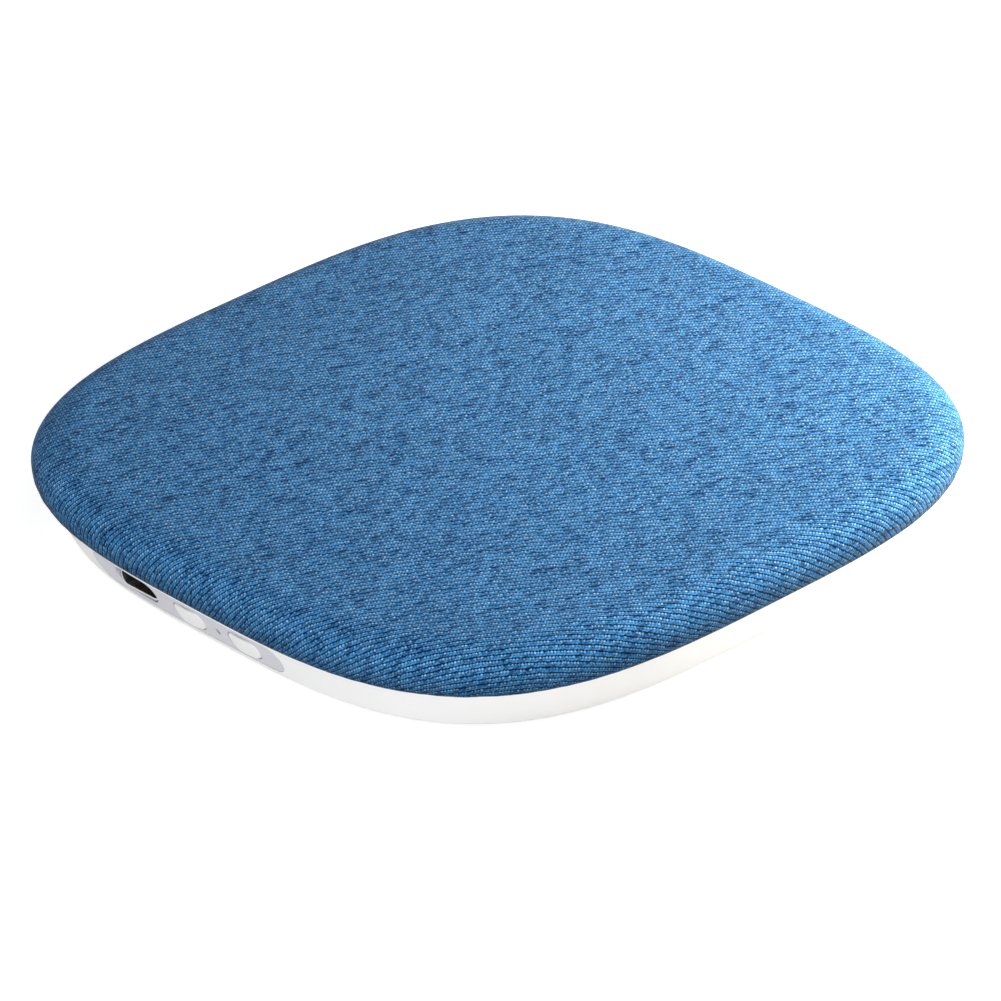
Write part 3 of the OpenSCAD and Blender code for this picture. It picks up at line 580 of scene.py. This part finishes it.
def denim(sizes, colours):
    """Cotton twill: blue warp floats over three pale wefts and under one, in slanting ribs."""
    f = Finish("denim", Sheen_Weight=0.07, Sheen_Roughness=0.4, Specular_IOR_Level=0.1)
    f.shader.inputs["Sheen Tint"].default_value = (0.85, 0.92, 1.0, 1)
    cloth = f.add("Attribute", {"attribute_name": "cloth", "attribute_type": "GEOMETRY"}, output="Vector")
    drift = f.cloud(cloth, 0.35, 2.0)
    wander = f.cloud(cloth, 1.3, 3.0, 0.7)
    x, y, _ = f.parts(cloth)
    ends = x / sizes.warp_pitch + (drift - 0.5) + 0.7 * (wander - 0.5)
    picks = y / sizes.weft_pitch - (drift - 0.5) + 0.7 * (wander - 0.5)
    end = ends.floor()
    # Each float has a number of its own, from 0 to 1
    lot = f.add("TexWhiteNoise", {"noise_dimensions": "3D"},
                {"Vector": f.vector(end, ((picks - end) / 4).floor(), 0.5)})
    # Share of the way along a float, from one crossing of the weft to the next, a little shifted in each
    along = ((picks - end) / 4).fract() + 0.14 * (lot - 0.5)
    # The same without steps from yarn to yarn, which gives the ribs
    rib = ((picks - ends) / 4).fract()
    lean = math.atan2(sizes.weft_pitch, sizes.warp_pitch)
    down_rib = x * math.cos(lean) + y * math.sin(lean)
    over_rib = y * math.cos(lean) - x * math.sin(lean)
    slub = f.cloud(f.vector(down_rib * 1.8, over_rib * 4.0, 3.3), 1.0, 3.0, 0.8)
    yarn = f.cloud(f.vector(end * 7.31, y * 0.9, 3.7), 1.0, 3.0, 0.7)
    pick_yarn = f.cloud(f.vector(x * 0.9, picks.floor() * 5.17, 9.1), 1.0, 3.0, 0.7)
    fuzz = f.cloud(cloth, 3.4, 3.0, 0.8)
    shade = f.cloud(cloth, 0.1, 3.0, 0.6)
    patch = f.cloud(cloth, 0.4, 3.0, 0.75)
    groove = 1 - (rib - 0.2).size().step(0.04, 0.26)
    crossing = 1 - (along - 0.14).size().step(0.08, 0.2)
    round_warp = (ends.fract() * math.pi).sin()
    round_float = 1 - ((along - 0.62).size() / 0.44).at_most(1.0) ** 2.0
    height = (0.45 + 0.55 * round_warp) * (0.2 + 0.8 * round_float)
    height = height * (1 - crossing) + crossing * (0.2 + 0.4 * (picks.fract() * math.pi).sin())
    dye = ((slub - 0.5) * 0.5 + (yarn - 0.5) * 0.7 + (fuzz - 0.5) * 3.0 + (patch - 0.5) * 0.7
           + (lot - 0.5) * 0.8)
    warp = f.blend((0.58 + dye).held(), colours.warp_dark, colours.warp_light)
    weft = f.blend((0.4 + (pick_yarn - 0.5) * 2.2).held(), colours.warp_light, colours.weft_pale)
    # Share of the weft that shows at a crossing
    bare = 0.35 + lot + 2.0 * (pick_yarn - 0.5) + 2.4 * (patch - 0.5)
    showing = (crossing * bare).held()
    colour = f.blend(showing, warp, weft)
    # Painted shade: the colour is darkened where the yarns dip, at the crossings and in the grooves
    # between the ribs
    painted_groove_shade = groove * (1 - showing) * (1.5 - 2.4 * (fuzz - 0.5))
    level = (0.21 + 1.3 * height) * (1 - 0.96 * painted_groove_shade.held())
    # Painted shade: the cloth is darkened towards the hem, in place of the shade where the edge rolls
    # under
    reach = (x.size() ** SQUARENESS + y.size() ** SQUARENESS) ** (1 / SQUARENESS)
    level = level * (1 - 0.68 * reach.step(58.0, 65.5)) * (0.82 + 0.36 * shade)
    level = level * (0.7 + 0.6 * slub) * (0.02 + 1.96 * fuzz)
    f.feed("Base Color", f.dim(colour, level))
    f.feed("Roughness", 0.88 + 0.1 * (fuzz - 0.5))
    f.feed("Normal", f.bump(height + 0.5 * fuzz, 0.00008, 0.36))
    return f.material


def woven(name, colour, pitch, rough=0.85):
    """Plain open weave, as of the acoustic mesh."""
    f = Finish(name)
    x, y, _ = f.parts(f.stretch(f.place(), (math.pi / pitch,) * 3))
    over = (x.sin() * y.sin()).size()
    dirt = f.cloud(f.place(), 400.0)
    # Painted shade: the colour falls to 0.3 along the low lines between the raised parts of the weave
    f.feed("Base Color", f.dim(f.blend(over, [c * 0.3 for c in colour], colour), 0.8 + 0.4 * dirt))
    f.feed("Roughness", rough + 0.1 * (dirt - 0.5))
    f.feed("Normal", f.bump(over, pitch * 0.2))
    return f.material


def cellular(name, colour):
    """Open-cell foam."""
    f = Finish(name, Specular_IOR_Level=0.15)
    place = f.place()
    cells = f.add("TexVoronoi", {"feature": "DISTANCE_TO_EDGE"}, {"Vector": place, "Scale": 2200.0})
    cloud = f.cloud(place, 150.0)
    walls = cells.step(0.02, 0.28)
    # Painted shade: the pores are darker than the cell walls around them
    f.feed("Base Color", f.dim(f.blend(walls, [c * 1.6 for c in colour], colour), 0.8 + 0.4 * cloud))
    f.feed("Roughness", 0.9 + 0.08 * (cloud - 0.5))
    f.feed("Normal", f.bump(1 - walls, 0.0001))
    return f.material


def circuit(name, mask, laminate):
    """Solder mask over copper: faint tracks at right angles, and the glass weave."""
    f = Finish(name, Coat_Weight=0.4, Coat_Roughness=0.2)
    place = f.place()
    x, y, _ = f.parts(f.stretch(place, (1000.0,) * 3))
    rows = f.cloud(f.vector(x * 0.35, (y * 1.9).floor() * 3.3, 1.0), 1.0, 1.0)
    columns = f.cloud(f.vector((x * 1.9).floor() * 4.1, y * 0.35, 5.0), 1.0, 1.0)
    across = rows.step(0.52, 0.56) * ((y * 1.9).fract() - 0.5).size().step(0.3, 0.24)
    along = columns.step(0.54, 0.58) * ((x * 1.9).fract() - 0.5).size().step(0.3, 0.24)
    tracks = across.at_least(along)
    weave = ((x * 5.0).sin() * (y * 5.0).sin()).size()
    base = f.blend(tracks * 0.55, mask, [c * 2.4 for c in mask])
    f.feed("Base Color", f.dim(f.blend(weave * 0.15, base, laminate), 0.9 + 0.2 * rows))
    f.feed("Roughness", 0.4 + 0.15 * weave)
    f.feed("Normal", f.bump(tracks + 0.2 * weave, 0.00002))
    return f.material


# Settings

class PillowSizes(bpy.types.PropertyGroup):
    warp_pitch: bpy.props.FloatProperty(
        name="Warp pitch", description="Spacing of the denim's lengthwise yarns in millimetres",
        default=0.272, min=0.1, max=1.0)
    weft_pitch: bpy.props.FloatProperty(
        name="Weft pitch", description="Spacing of the denim's crosswise yarns in millimetres",
        default=0.387, min=0.1, max=1.0)
    strip_edge: bpy.props.FloatProperty(
        name="Strip edge", description="Rounding of the control strip's edges in millimetres",
        default=0.14, min=0.0, max=0.3)
    button_edge: bpy.props.FloatProperty(
        name="Button edge", description="Rounding of the buttons' edges in millimetres",
        default=0.28, min=0.05, max=0.6)
    pucker: bpy.props.FloatProperty(
        name="Corner pucker",
        description="Height of the small gathers at the cover's corners in millimetres",
        default=0.07, min=0.0, max=0.2)


def colour_of(name, text, value):
    return bpy.props.FloatVectorProperty(name=name, description=text, default=value, subtype="COLOR",
                                         min=0.0, max=1.0)


class PillowColours(bpy.types.PropertyGroup):
    warp_dark: colour_of("Dark warp", "Deepest blue of the denim's warp", (0.003, 0.038, 0.16))
    warp_light: colour_of("Light warp", "Lightest blue of the denim's warp", (0.045, 0.28, 0.65))
    weft_pale: colour_of("Weft", "Pale yarn between the floats", (0.54, 0.83, 1.0))
    shell: colour_of("Case", "White of the moulded case", (0.9, 0.9, 0.895))
    strip: colour_of("Strip", "Grey of the control strip", (0.6, 0.6, 0.65))
    button: colour_of("Buttons", "Off-white of the buttons", (0.84, 0.84, 0.83))
    pad: colour_of("Base pad", "Grey-white of the silicone pad", (0.7, 0.7, 0.69))
    floor: colour_of("Floor", "Pale surface that the speaker lies on", (0.7, 0.7, 0.7))


# Steps

def cover_section(t, hem_z):
    """Section of one of the cover's faces, inset by t, from the middle of the top to the hem."""
    path = []
    steps, middle, bridge = 26, 0.6, 3.0
    for i in range(steps):
        half = middle + (HALF_W - SHOULDER_W - bridge - middle) * i / (steps - 1)
        out = max(half - DOME_FLAT, 0) / (HALF_W - SHOULDER_W - DOME_FLAT)
        path.append((half, SHOULDER_Z - t + DOME_RISE * (1 - out * out)))
    shoulder = arc(HALF_W - SHOULDER_W, RIM_Z, SHOULDER_W - t, SHOULDER_H - t, 68, 0, 12)
    # A smooth bridge where the dome runs into the shoulder
    (ax, az), (bx, bz) = path[-1], shoulder[0]
    lean_a = (path[-1][1] - path[-2][1]) / (path[-1][0] - path[-2][0])
    lean_b = (shoulder[1][1] - shoulder[0][1]) / (shoulder[1][0] - shoulder[0][0])
    span = bx - ax
    for i in range(1, 6):
        u = i / 6
        z = ((2 * u ** 3 - 3 * u ** 2 + 1) * az + (u ** 3 - 2 * u ** 2 + u) * span * lean_a
             + (3 * u ** 2 - 2 * u ** 3) * bz + (u ** 3 - u ** 2) * span * lean_b)
        path.append((ax + span * u, z))
    path += shoulder
    path += arc(HALF_W - t - SKIRT_TUCK, RIM_Z, SKIRT_TUCK, hem_z - RIM_Z, 0, 90, 12)[1:]
    tuck = path[-1][0]
    path += [(tuck + (HEM_HALF - tuck) * i / 3, hem_z) for i in range(1, 4)]
    return path


class PILLOW_OT_cover(bpy.types.Operator):
    """Make the denim cover, stretched over the foam and tucked in under the shell"""
    bl_idname = "pillow.cover"
    bl_label = "Denim cover"

    def execute(self, context):
        sizes = context.scene.pillow_sizes
        outer = cover_section(0, HEM_LOW_Z)
        section = outer + cover_section(FABRIC_T, HEM_TOP_Z)[::-1]
        # The gathers are noise on a ring of this radius, which makes one about 1.8 mm wide
        count, ring = 384, 34
        run = [outer[0][0]]
        for a, b in zip(outer, outer[1:]):
            run.append(run[-1] + math.hypot(b[0] - a[0], b[1] - a[1]))
        flat = run[-1]
        points, cloth = [(0, 0, TOP_Z)], [(0, 0, 0)]
        for (half, z), length in zip(section, run + run[::-1]):
            # From 0 above the rim to 1 at the hem
            low = min(max((RIM_Z + 0.5 - z) / (RIM_Z - HEM_LOW_Z), 0), 1) if half > HEM_HALF + 1 else 0
            for k in range(count):
                a = 2 * math.pi * k / count
                corner = abs(math.sin(2 * a)) ** 3
                around = Vector((math.cos(a) * ring, math.sin(a) * ring, 1))
                gather = sizes.pucker * corner * low * noise.noise(around)
                relief = 0.05 * noise.noise(Vector((*outline_at(half, a), 5.0)) / 9) * (1 - low)
                x, y = outline_at(half + gather * 2, a)
                points.append((x, y, z + relief if half < HALF_W - 2 else z))
                cloth.append((*outline_at(length, a), 0))
        faces = [(0, 1 + k, 1 + (k + 1) % count) for k in range(count)]
        for j in range(len(section) - 1):
            a, b = 1 + j * count, 1 + (j + 1) * count
            faces += [(a + k, b + k, b + (k + 1) % count, a + (k + 1) % count) for k in range(count)]
        last = len(points) - count
        points.append((0, 0, TOP_Z - FABRIC_T))
        cloth.append((0, 0, 0))
        faces += [(len(points) - 1, last + (k + 1) % count, last + k) for k in range(count)]
        cover = make_mesh("cover_denim", points, faces, 60)
        layer = cover.data.attributes.new("cloth", "FLOAT_VECTOR", "POINT")
        layer.data.foreach_set("vector", [v for p in cloth for v in p])
        dress(cover, denim(sizes, context.scene.pillow_colours), nodes=["denim_cover"])
        2 * flat * MM
        2 * flat * MM
        outline_area(flat) * MM * MM
        return {"FINISHED"}


class PILLOW_OT_foam(bpy.types.Operator):
    """Make the foam pad between the shell's plate and the denim"""
    bl_idname = "pillow.foam"
    bl_label = "Foam pad"

    def execute(self, context):
        t = FABRIC_T + SOFT_GAP
        low_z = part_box("foam_pad")[0].z / MM
        seat_z = low_z + FOAM_SEAT
        upright = 0.3
        start = math.degrees(math.asin((seat_z - RIM_Z + upright) / (SHOULDER_H - t)))
        edge = arc(HALF_W - SHOULDER_W, RIM_Z, SHOULDER_W - t, SHOULDER_H - t, start, 90, 10)
        dome = [(HALF_W - SHOULDER_W - (HALF_W - SHOULDER_W - DOME_FLAT) * u,
                 SHOULDER_Z - t + DOME_RISE * (1 - (1 - u) ** 2)) for u in (i / 14 for i in range(1, 15))]
        seat_half = TONGUE_OUT - TONGUE_T - PLATE_LAP - 2 * SOFT_GAP
        seat = [(seat_half, low_z), (seat_half, seat_z), (edge[0][0], seat_z)]
        foam = loft("pad_foam", seat + edge + dome, 200)
        dress(foam, cellular("foam", (0.1, 0.1, 0.11)), nodes=["foam_pad"])
        return {"FINISHED"}


class PILLOW_OT_case(bpy.types.Operator):
    """Make the white lower case with its seat for the strip, its posts and its battery rails"""
    bl_idname = "pillow.case"
    bl_label = "Lower case"

    # Depth by which one solid reaches into the next, so that the two join
    BITE = 0.1

    def execute(self, context):
        recess = PAD_HALF + SOFT_GAP
        lip, bevel = 0.18, 0.12
        rim = arc(CASE_TOP_HALF - lip, SEAM_Z - lip, lip, lip, 0, 90, 4)
        foot = arc(BASE_HALF, PAD_STAND + EDGE_R, EDGE_R, EDGE_R, -90, -math.degrees(WALL_SLOPE), 8)
        low_z, high_z = foot[-1][1], rim[0][1]
        wall = [(case_half(z), z) for z in (low_z + (high_z - low_z) * i / 6 for i in range(1, 6))]
        inner_low = case_half(FLOOR_Z) - WALL_T
        border = [(recess, PAD_STAND + bevel), (recess + bevel, PAD_STAND)]
        inner = [(CASE_TOP_HALF - WALL_T, SEAM_Z), (inner_low, FLOOR_Z - self.BITE),
                 (recess, FLOOR_Z - 2 * self.BITE)]
        shell = loft("case_lower", border + foot + wall + rim + inner, closed=True)
        face_out(shell)
        combine(shell, self.added(inner_low + WALL_T / 2), "UNION")
        combine(shell, self.cut_away(), "DIFFERENCE")
        finish = moulded("white_shell", context.scene.pillow_colours.shell, 0.42, depth=0.000006)
        dress(shell, finish, nodes=["bottom_shell"])
        return {"FINISHED"}

    def added(self, floor_half):
        """The floor, the panel behind the strip, the screws' posts and the battery's rails."""
        foot_z = PAD_T + self.BITE
        panel = box_outline(STRIP_X - PANEL_HALF_L, STRIP_X + PANEL_HALF_L, foot_z, SEAM_Z - self.BITE)
        solids = [loft("case_floor", [(floor_half, PAD_T), (floor_half, FLOOR_Z)]),
                  slab("panel", panel, [], lambda x, z: wall_y(x, z) + WALL_T / 2,
                       lambda x, z: PANEL_Y, grid=1.2)]
        board_low_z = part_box("main_board")[0].z / MM
        chamfer, board_gap = 0.2, 0.02
        for node_name, r, top in (("case_screws", CASE_BOSS_D / 2, FLOOR_Z + BOSS_RISE),
                                  ("board_screws", POST_D / 2, board_low_z - board_gap)):
            profile = [(0, foot_z), (r, foot_z), (r, top - chamfer), (r - chamfer, top), (0, top)]
            for centre in self.stations(node_name):
                solids.append(turned(f"post_{len(solids)}", profile, centre))
        low, high = (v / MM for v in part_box("battery_tape"))
        x, y = (low.x + high.x) / 2, (low.y + high.y) / 2
        tape_w = high.x - low.x
        cell_w = tape_w + 2 * TAPE_BORDER
        cell_l = high.y - low.y + 2 * TAPE_BORDER_L
        corner_r, out = 0.5, RAIL_GAP + RAIL_T / 2
        side_top = FLOOR_Z + RAIL_H + SOFT_GAP
        end_top = FLOOR_Z + 0.6 * RAIL_H + SOFT_GAP
        for side in (-1, 1):
            beside = (x + side * (cell_w / 2 + out), y)
            beyond = (x, y + side * (cell_l / 2 + out))
            solids.append(rounded_bar(f"rail_x{side}", RAIL_T, cell_l, corner_r, beside, foot_z, side_top))
            solids.append(rounded_bar(f"rail_y{side}", tape_w, RAIL_T, corner_r, beyond, foot_z, end_top))
        return solids

    def cut_away(self):
        """The screws' pockets and cores, the strip's seat and the openings."""
        under_z, over_z = 0.2, 6.0
        past_wall, past_panel = 3, 1
        pocket = [(0, under_z), (HEAD_HOLE_R, under_z), (HEAD_HOLE_R, POCKET_TOP_Z),
                  (SCREW_HOLE_R, POCKET_TOP_Z), (SCREW_HOLE_R, over_z), (0, over_z)]
        core = [(0, FLOOR_Z), (CORE_R, FLOOR_Z), (CORE_R, over_z + 2), (0, over_z + 2)]
        seat = oval(STRIP_L + 2 * SEAT_GAP, STRIP_H + 2 * SEAT_GAP, STRIP_X, STRIP_Z)
        cutters = [turned("pocket", pocket, centre) for centre in self.stations("case_screws")]
        cutters += [turned("core", core, centre) for centre in self.stations("board_screws")]
        cutters.append(slab("seat", seat, [], lambda x, z: wall_y(x, z) - past_wall,
                            lambda x, z: wall_y(x, z) + STRIP_T + SEAT_GAP, grid=1.5))
        for shape in openings():
            cutters.append(slab("opening", shape, [], lambda x, z: -HALF_W,
                                lambda x, z: PANEL_Y + past_panel, grid=2.0))
        return cutters

    @staticmethod
    def stations(node_name):
        """Places of the four screws in a node, from its box."""
        low, high = (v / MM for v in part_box(node_name))
        r = HEAD_R[node_name]
        return [(x, y) for x in (low.x + r, high.x - r) for y in (low.y + r, high.y - r)]


class PILLOW_OT_strip(bpy.types.Operator):
    """Make the grey control strip with its rounded holes"""
    bl_idname = "pillow.strip"
    bl_label = "Control strip"

    def execute(self, context):
        edge = context.scene.pillow_sizes.strip_edge
        button_edge, pinhole_edge = 0.06, 0.04
        strip = slab("strip_grey", oval(STRIP_L, STRIP_H, STRIP_X, STRIP_Z), openings(), wall_y,
                     lambda x, z: wall_y(x, z) + STRIP_T, edge,
                     [PORT_BEVEL, button_edge, button_edge, pinhole_edge], grid=0.7)
        finish = moulded("grey_strip", context.scene.pillow_colours.strip, 0.38, depth=0.000005)
        dress(strip, finish, nodes=["control_strip"])
        return {"FINISHED"}


class PILLOW_OT_buttons(bpy.types.Operator):
    """Make the two crowned push buttons with their necks and flanges"""
    bl_idname = "pillow.buttons"
    bl_label = "Push buttons"

    def execute(self, context):
        edge = context.scene.pillow_sizes.button_edge
        finish = moulded("button", context.scene.pillow_colours.button, 0.32, depth=0.000003)
        back = PANEL_Y - TRAVEL - SOFT_GAP
        flange = PANEL_Y + SEAT_GAP
        flange_back = flange + FLANGE_T
        across, up = math.cos(WALL_SLOPE), math.sin(WALL_SLOPE)
        for side, x in BUTTON_XS.items():
            crown = Vector((x, wall_y(x, STRIP_Z) - BUTTON_PROUD * across, STRIP_Z - BUTTON_PROUD * up))
            centre = crown + CROWN_R * Vector((0, across, up))

            def dome(px, pz, c=centre):
                return c.y - math.sqrt(CROWN_R ** 2 - (px - c.x) ** 2 - (pz - c.z) ** 2)

            cap = slab(f"{side}_key", oval(BUTTON_L, BUTTON_H, x, STRIP_Z), [], dome, lambda px, pz: back,
                       edge, grid=0.35)
            neck = slab("neck", oval(BUTTON_L - NECK_DROP, BUTTON_H - 2 * NECK_DROP, x, STRIP_Z), [],
                        lambda px, pz: back - NECK_DROP, lambda px, pz: flange + NECK_DROP, grid=1.0)
            ears = slab("ears", oval(BUTTON_L + 2 * FLANGE_EAR, BUTTON_H - 2 * NECK_DROP, x, STRIP_Z), [],
                        lambda px, pz: flange, lambda px, pz: flange_back, edge=0.1, grid=1.0)
            nub = slab("nub", oval(NUB_D, NUB_D, x, STRIP_Z, 48), [],
                       lambda px, pz: flange_back - NUB_L, lambda px, pz: flange_back + NUB_L, grid=1.0)
            combine(cap, [neck, ears, nub], "UNION", 35)
            dress(cap, finish, nodes=[f"{side}_button"], body=f"{side}_key")
        return {"FINISHED"}


class PILLOW_OT_base(bpy.types.Operator):
    """Make the silicone base pad with its ring grooves"""
    bl_idname = "pillow.base"
    bl_label = "Base pad"

    def execute(self, context):
        r, bevel = 0.15, 0.05
        depth = PAD_STAND * 0.6
        rings = []
        for k in range(GROOVES, 0, -1):
            outer = PAD_HALF - k * GROOVE_PITCH
            inner = outer - GROOVE_W
            rings += [(inner - r, 0), (inner - bevel, bevel), (inner, r), (inner, depth),
                      (outer, depth), (outer, r), (outer + bevel, bevel), (outer + r, 0)]
        rings += [(PAD_HALF - r, 0), (PAD_HALF - bevel, bevel), (PAD_HALF, r), (PAD_HALF, PAD_T)]
        pad = loft("pad_base", rings, 280, crease=50)
        face_out(pad)
        finish = moulded("silicone", context.scene.pillow_colours.pad, 0.62, 0.0004, 0.00002)
        dress(pad, finish, nodes=["base_pad"])
        return {"FINISHED"}


class PILLOW_OT_inner(bpy.types.Operator):
    """Give the solids that stay as they are their finishes"""
    bl_idname = "pillow.inner"
    bl_label = "Inner parts"

    def execute(self, context):
        colours = context.scene.pillow_colours
        finishes = {
            "white_shell": moulded("white_carrier", colours.shell, 0.45),
            "foam": cellular("inner_foam", (0.07, 0.07, 0.075)),
            "black_plastic": moulded("black_plastic", (0.02, 0.02, 0.021), 0.4, wear=0.3),
            "sheet_steel": rolled("sheet_steel", (0.62, 0.62, 0.64), 0.28, (1, 0.05, 1)),
            "contact": rolled("contact", (0.86, 0.62, 0.26), 0.2, (1, 0.1, 1)),
            "black_rubber": moulded("black_rubber", (0.02, 0.02, 0.022), 0.7, 0.0003, 0.00003, wear=0.25),
            "board": circuit("board", (0.015, 0.1, 0.05), (0.2, 0.3, 0.12)),
            "ceramic": moulded("ceramic", (0.62, 0.55, 0.42), 0.35, 0.0002, mottle=0.25),
            "pouch": rolled("pouch", (0.66, 0.67, 0.69), 0.35, (0.1, 1, 1), 0.00001, 0.15),
            "mesh": woven("mesh", (0.05, 0.05, 0.052), 0.0003),
            "basket": moulded("basket", (0.03, 0.03, 0.033), 0.5, 0.0004, 0.00003, wear=0.3),
            "pot": rolled("pot", (0.5, 0.5, 0.53), 0.3, (1, 1, 0.1)),
            "cone": moulded("cone", (0.03, 0.03, 0.032), 0.35, 0.0006, 0.00002, wear=0.2),
            "red_lead": moulded("red_lead", (0.55, 0.03, 0.03), 0.4, 0.0003),
            "black_lead": moulded("black_lead", (0.02, 0.02, 0.02), 0.4, 0.0003, wear=0.2),
            "screw_steel": rolled("screw_steel", (0.55, 0.55, 0.57), 0.3),
        }
        stood_for = {"denim_cover", "foam_pad", "bottom_shell", "control_strip", "left_button",
                     "right_button", "base_pad"}
        for row in frame["record"]["subparts"]:
            if row["node"] in stood_for:
                continue
            kept = frame["nodes"][row["node"]]
            kept.data.materials.clear()
            kept.data.materials.append(finishes[row["material_slot"]])
            smooth(kept.data, 32)
        return {"FINISHED"}


class PILLOW_OT_stage(bpy.types.Operator):
    """Set the floor, the lights and the camera"""
    bl_idname = "pillow.stage"
    bl_label = "Stage"

    def execute(self, context):
        scene = context.scene
        self.floor(scene)
        self.world(scene)
        self.lamp("key", (0.09, 0.17, 0.07), (0.02, 0.03, 0.01), size=0.1, power=0.97,
                  colour=(1.0, 0.94, 0.84))
        self.lamp("fill", (0.24, -0.44, 0.1), (0, -0.03, 0.005), size=0.3, power=1.7)
        self.lamp("top", (0.14, 0.06, 0.6), (0, 0, 0.015), size=0.5, power=0.5)
        self.camera(scene)
        scene.view_settings.view_transform = "Standard"
        return {"FINISHED"}

    @staticmethod
    def floor(scene):
        reach, drop = 6000, 0.02
        points = [(sx * reach, sy * reach, -drop) for sx, sy in ((-1, -1), (1, -1), (1, 1), (-1, 1))]
        floor = make_mesh("floor", points, [(0, 1, 2, 3)])
        f = Finish("floor", Roughness=0.9, Specular_IOR_Level=0.1, Emission_Strength=0.68)
        faint = f.cloud(f.place(), 30.0)
        f.feed("Base Color", f.dim(scene.pillow_colours.floor, 0.98 + 0.02 * faint))
        camera = f.add("LightPath", output="Is Camera Ray")
        mirror = f.add("LightPath", output="Is Glossy Ray")
        through = f.add("LightPath", output="Is Transmission Ray")
        seen = camera.at_least(mirror).at_least(through)
        f.feed("Emission Color", f.dim((1, 1, 1), seen))
        floor.data.materials.append(f.material)

    @staticmethod
    def world(scene):
        world = bpy.data.worlds.new("studio")
        world.use_nodes = True
        scene.world = world
        nodes, links = world.node_tree.nodes, world.node_tree.links
        ground = nodes["Background"]
        ground.inputs["Color"].default_value = (0.97, 0.98, 1.0, 1)
        ground.inputs["Strength"].default_value = 0.3
        white = nodes.new("ShaderNodeBackground")
        white.inputs["Color"].default_value = (1, 1, 1, 1)
        white.inputs["Strength"].default_value = 1.0
        path = nodes.new("ShaderNodeLightPath")
        most = nodes.new("ShaderNodeMath")
        most.operation = "MAXIMUM"
        links.new(path.outputs["Is Camera Ray"], most.inputs[0])
        links.new(path.outputs["Is Transmission Ray"], most.inputs[1])
        both = nodes.new("ShaderNodeMixShader")
        links.new(most.outputs[0], both.inputs[0])
        links.new(ground.outputs[0], both.inputs[1])
        links.new(white.outputs[0], both.inputs[2])
        links.new(both.outputs[0], nodes["World Output"].inputs["Surface"])

    @staticmethod
    def lamp(name, place, target, size, power, colour=(1.0, 1.0, 1.0)):
        data = bpy.data.lights.new(name, "AREA")
        data.shape = "DISK"
        data.size = size
        data.energy = power
        data.color = colour
        lamp = bpy.data.objects.new(name, data)
        lamp.location = place
        lamp.rotation_mode = "QUATERNION"
        lamp.rotation_quaternion = (Vector(target) - Vector(place)).to_track_quat("-Z", "Y")
        lamp.visible_camera = False
        bpy.context.scene.collection.objects.link(lamp)

    @staticmethod
    def camera(scene):
        azimuth, rise, roll = math.radians(49.06), math.radians(29.58), math.radians(-2.67)
        focal_pixels, picture_pixels, sensor = 8889, 1001, 36
        distance, right_shift, down_shift = 1304.0, 0.5575, 8.127
        level = math.cos(rise)
        back = Vector((math.sin(azimuth) * level, -math.cos(azimuth) * level, math.sin(rise)))
        right = Vector((math.cos(azimuth), math.sin(azimuth), 0))
        down = -back.cross(right)
        turned_right = right * math.cos(roll) - down * math.sin(roll)
        turned_down = right * math.sin(roll) + down * math.cos(roll)
        data = bpy.data.cameras.new("camera")
        data.lens = focal_pixels * sensor / picture_pixels
        data.sensor_width = sensor
        data.clip_start, data.clip_end = 0.1, 20
        camera = bpy.data.objects.new("camera", data)
        place = (Vector((0, 0, RIM_Z)) + turned_right * right_shift + turned_down * down_shift
                 + back * distance)
        axes = Matrix((turned_right, -turned_down, back)).transposed().to_4x4()
        camera.matrix_world = Matrix.Translation(place * MM) @ axes
        scene.collection.objects.link(camera)
        scene.camera = camera


STEPS = [PILLOW_OT_cover, PILLOW_OT_foam, PILLOW_OT_case, PILLOW_OT_strip, PILLOW_OT_buttons,
         PILLOW_OT_base, PILLOW_OT_inner, PILLOW_OT_stage]


class PILLOW_PT_panel(bpy.types.Panel):
    bl_label = "Pillow speaker"
    bl_idname = "PILLOW_PT_panel"
    bl_space_type = "VIEW_3D"
    bl_region_type = "UI"
    bl_category = "Pillow speaker"

    def draw(self, context):
        column = self.layout.column()
        for group in (context.scene.pillow_sizes, context.scene.pillow_colours):
            for name in group.__annotations__:
                column.prop(group, name)
        for step in STEPS:
            column.operator(step.bl_idname)


CLASSES = [PillowSizes, PillowColours, *STEPS, PILLOW_PT_panel]


def register():
    for kind in CLASSES:
        bpy.utils.register_class(kind)
    bpy.types.Scene.pillow_sizes = bpy.props.PointerProperty(type=PillowSizes)
    bpy.types.Scene.pillow_colours = bpy.props.PointerProperty(type=PillowColours)


def unregister():
    del bpy.types.Scene.pillow_colours
    del bpy.types.Scene.pillow_sizes
    for kind in reversed(CLASSES):
        bpy.utils.unregister_class(kind)


def main():
    register()
    for step in STEPS:
        getattr(bpy.ops.pillow, step.bl_idname.split(".")[1])()
    bpy.context.view_layer.update()


if __name__ == "__main__":
    main()
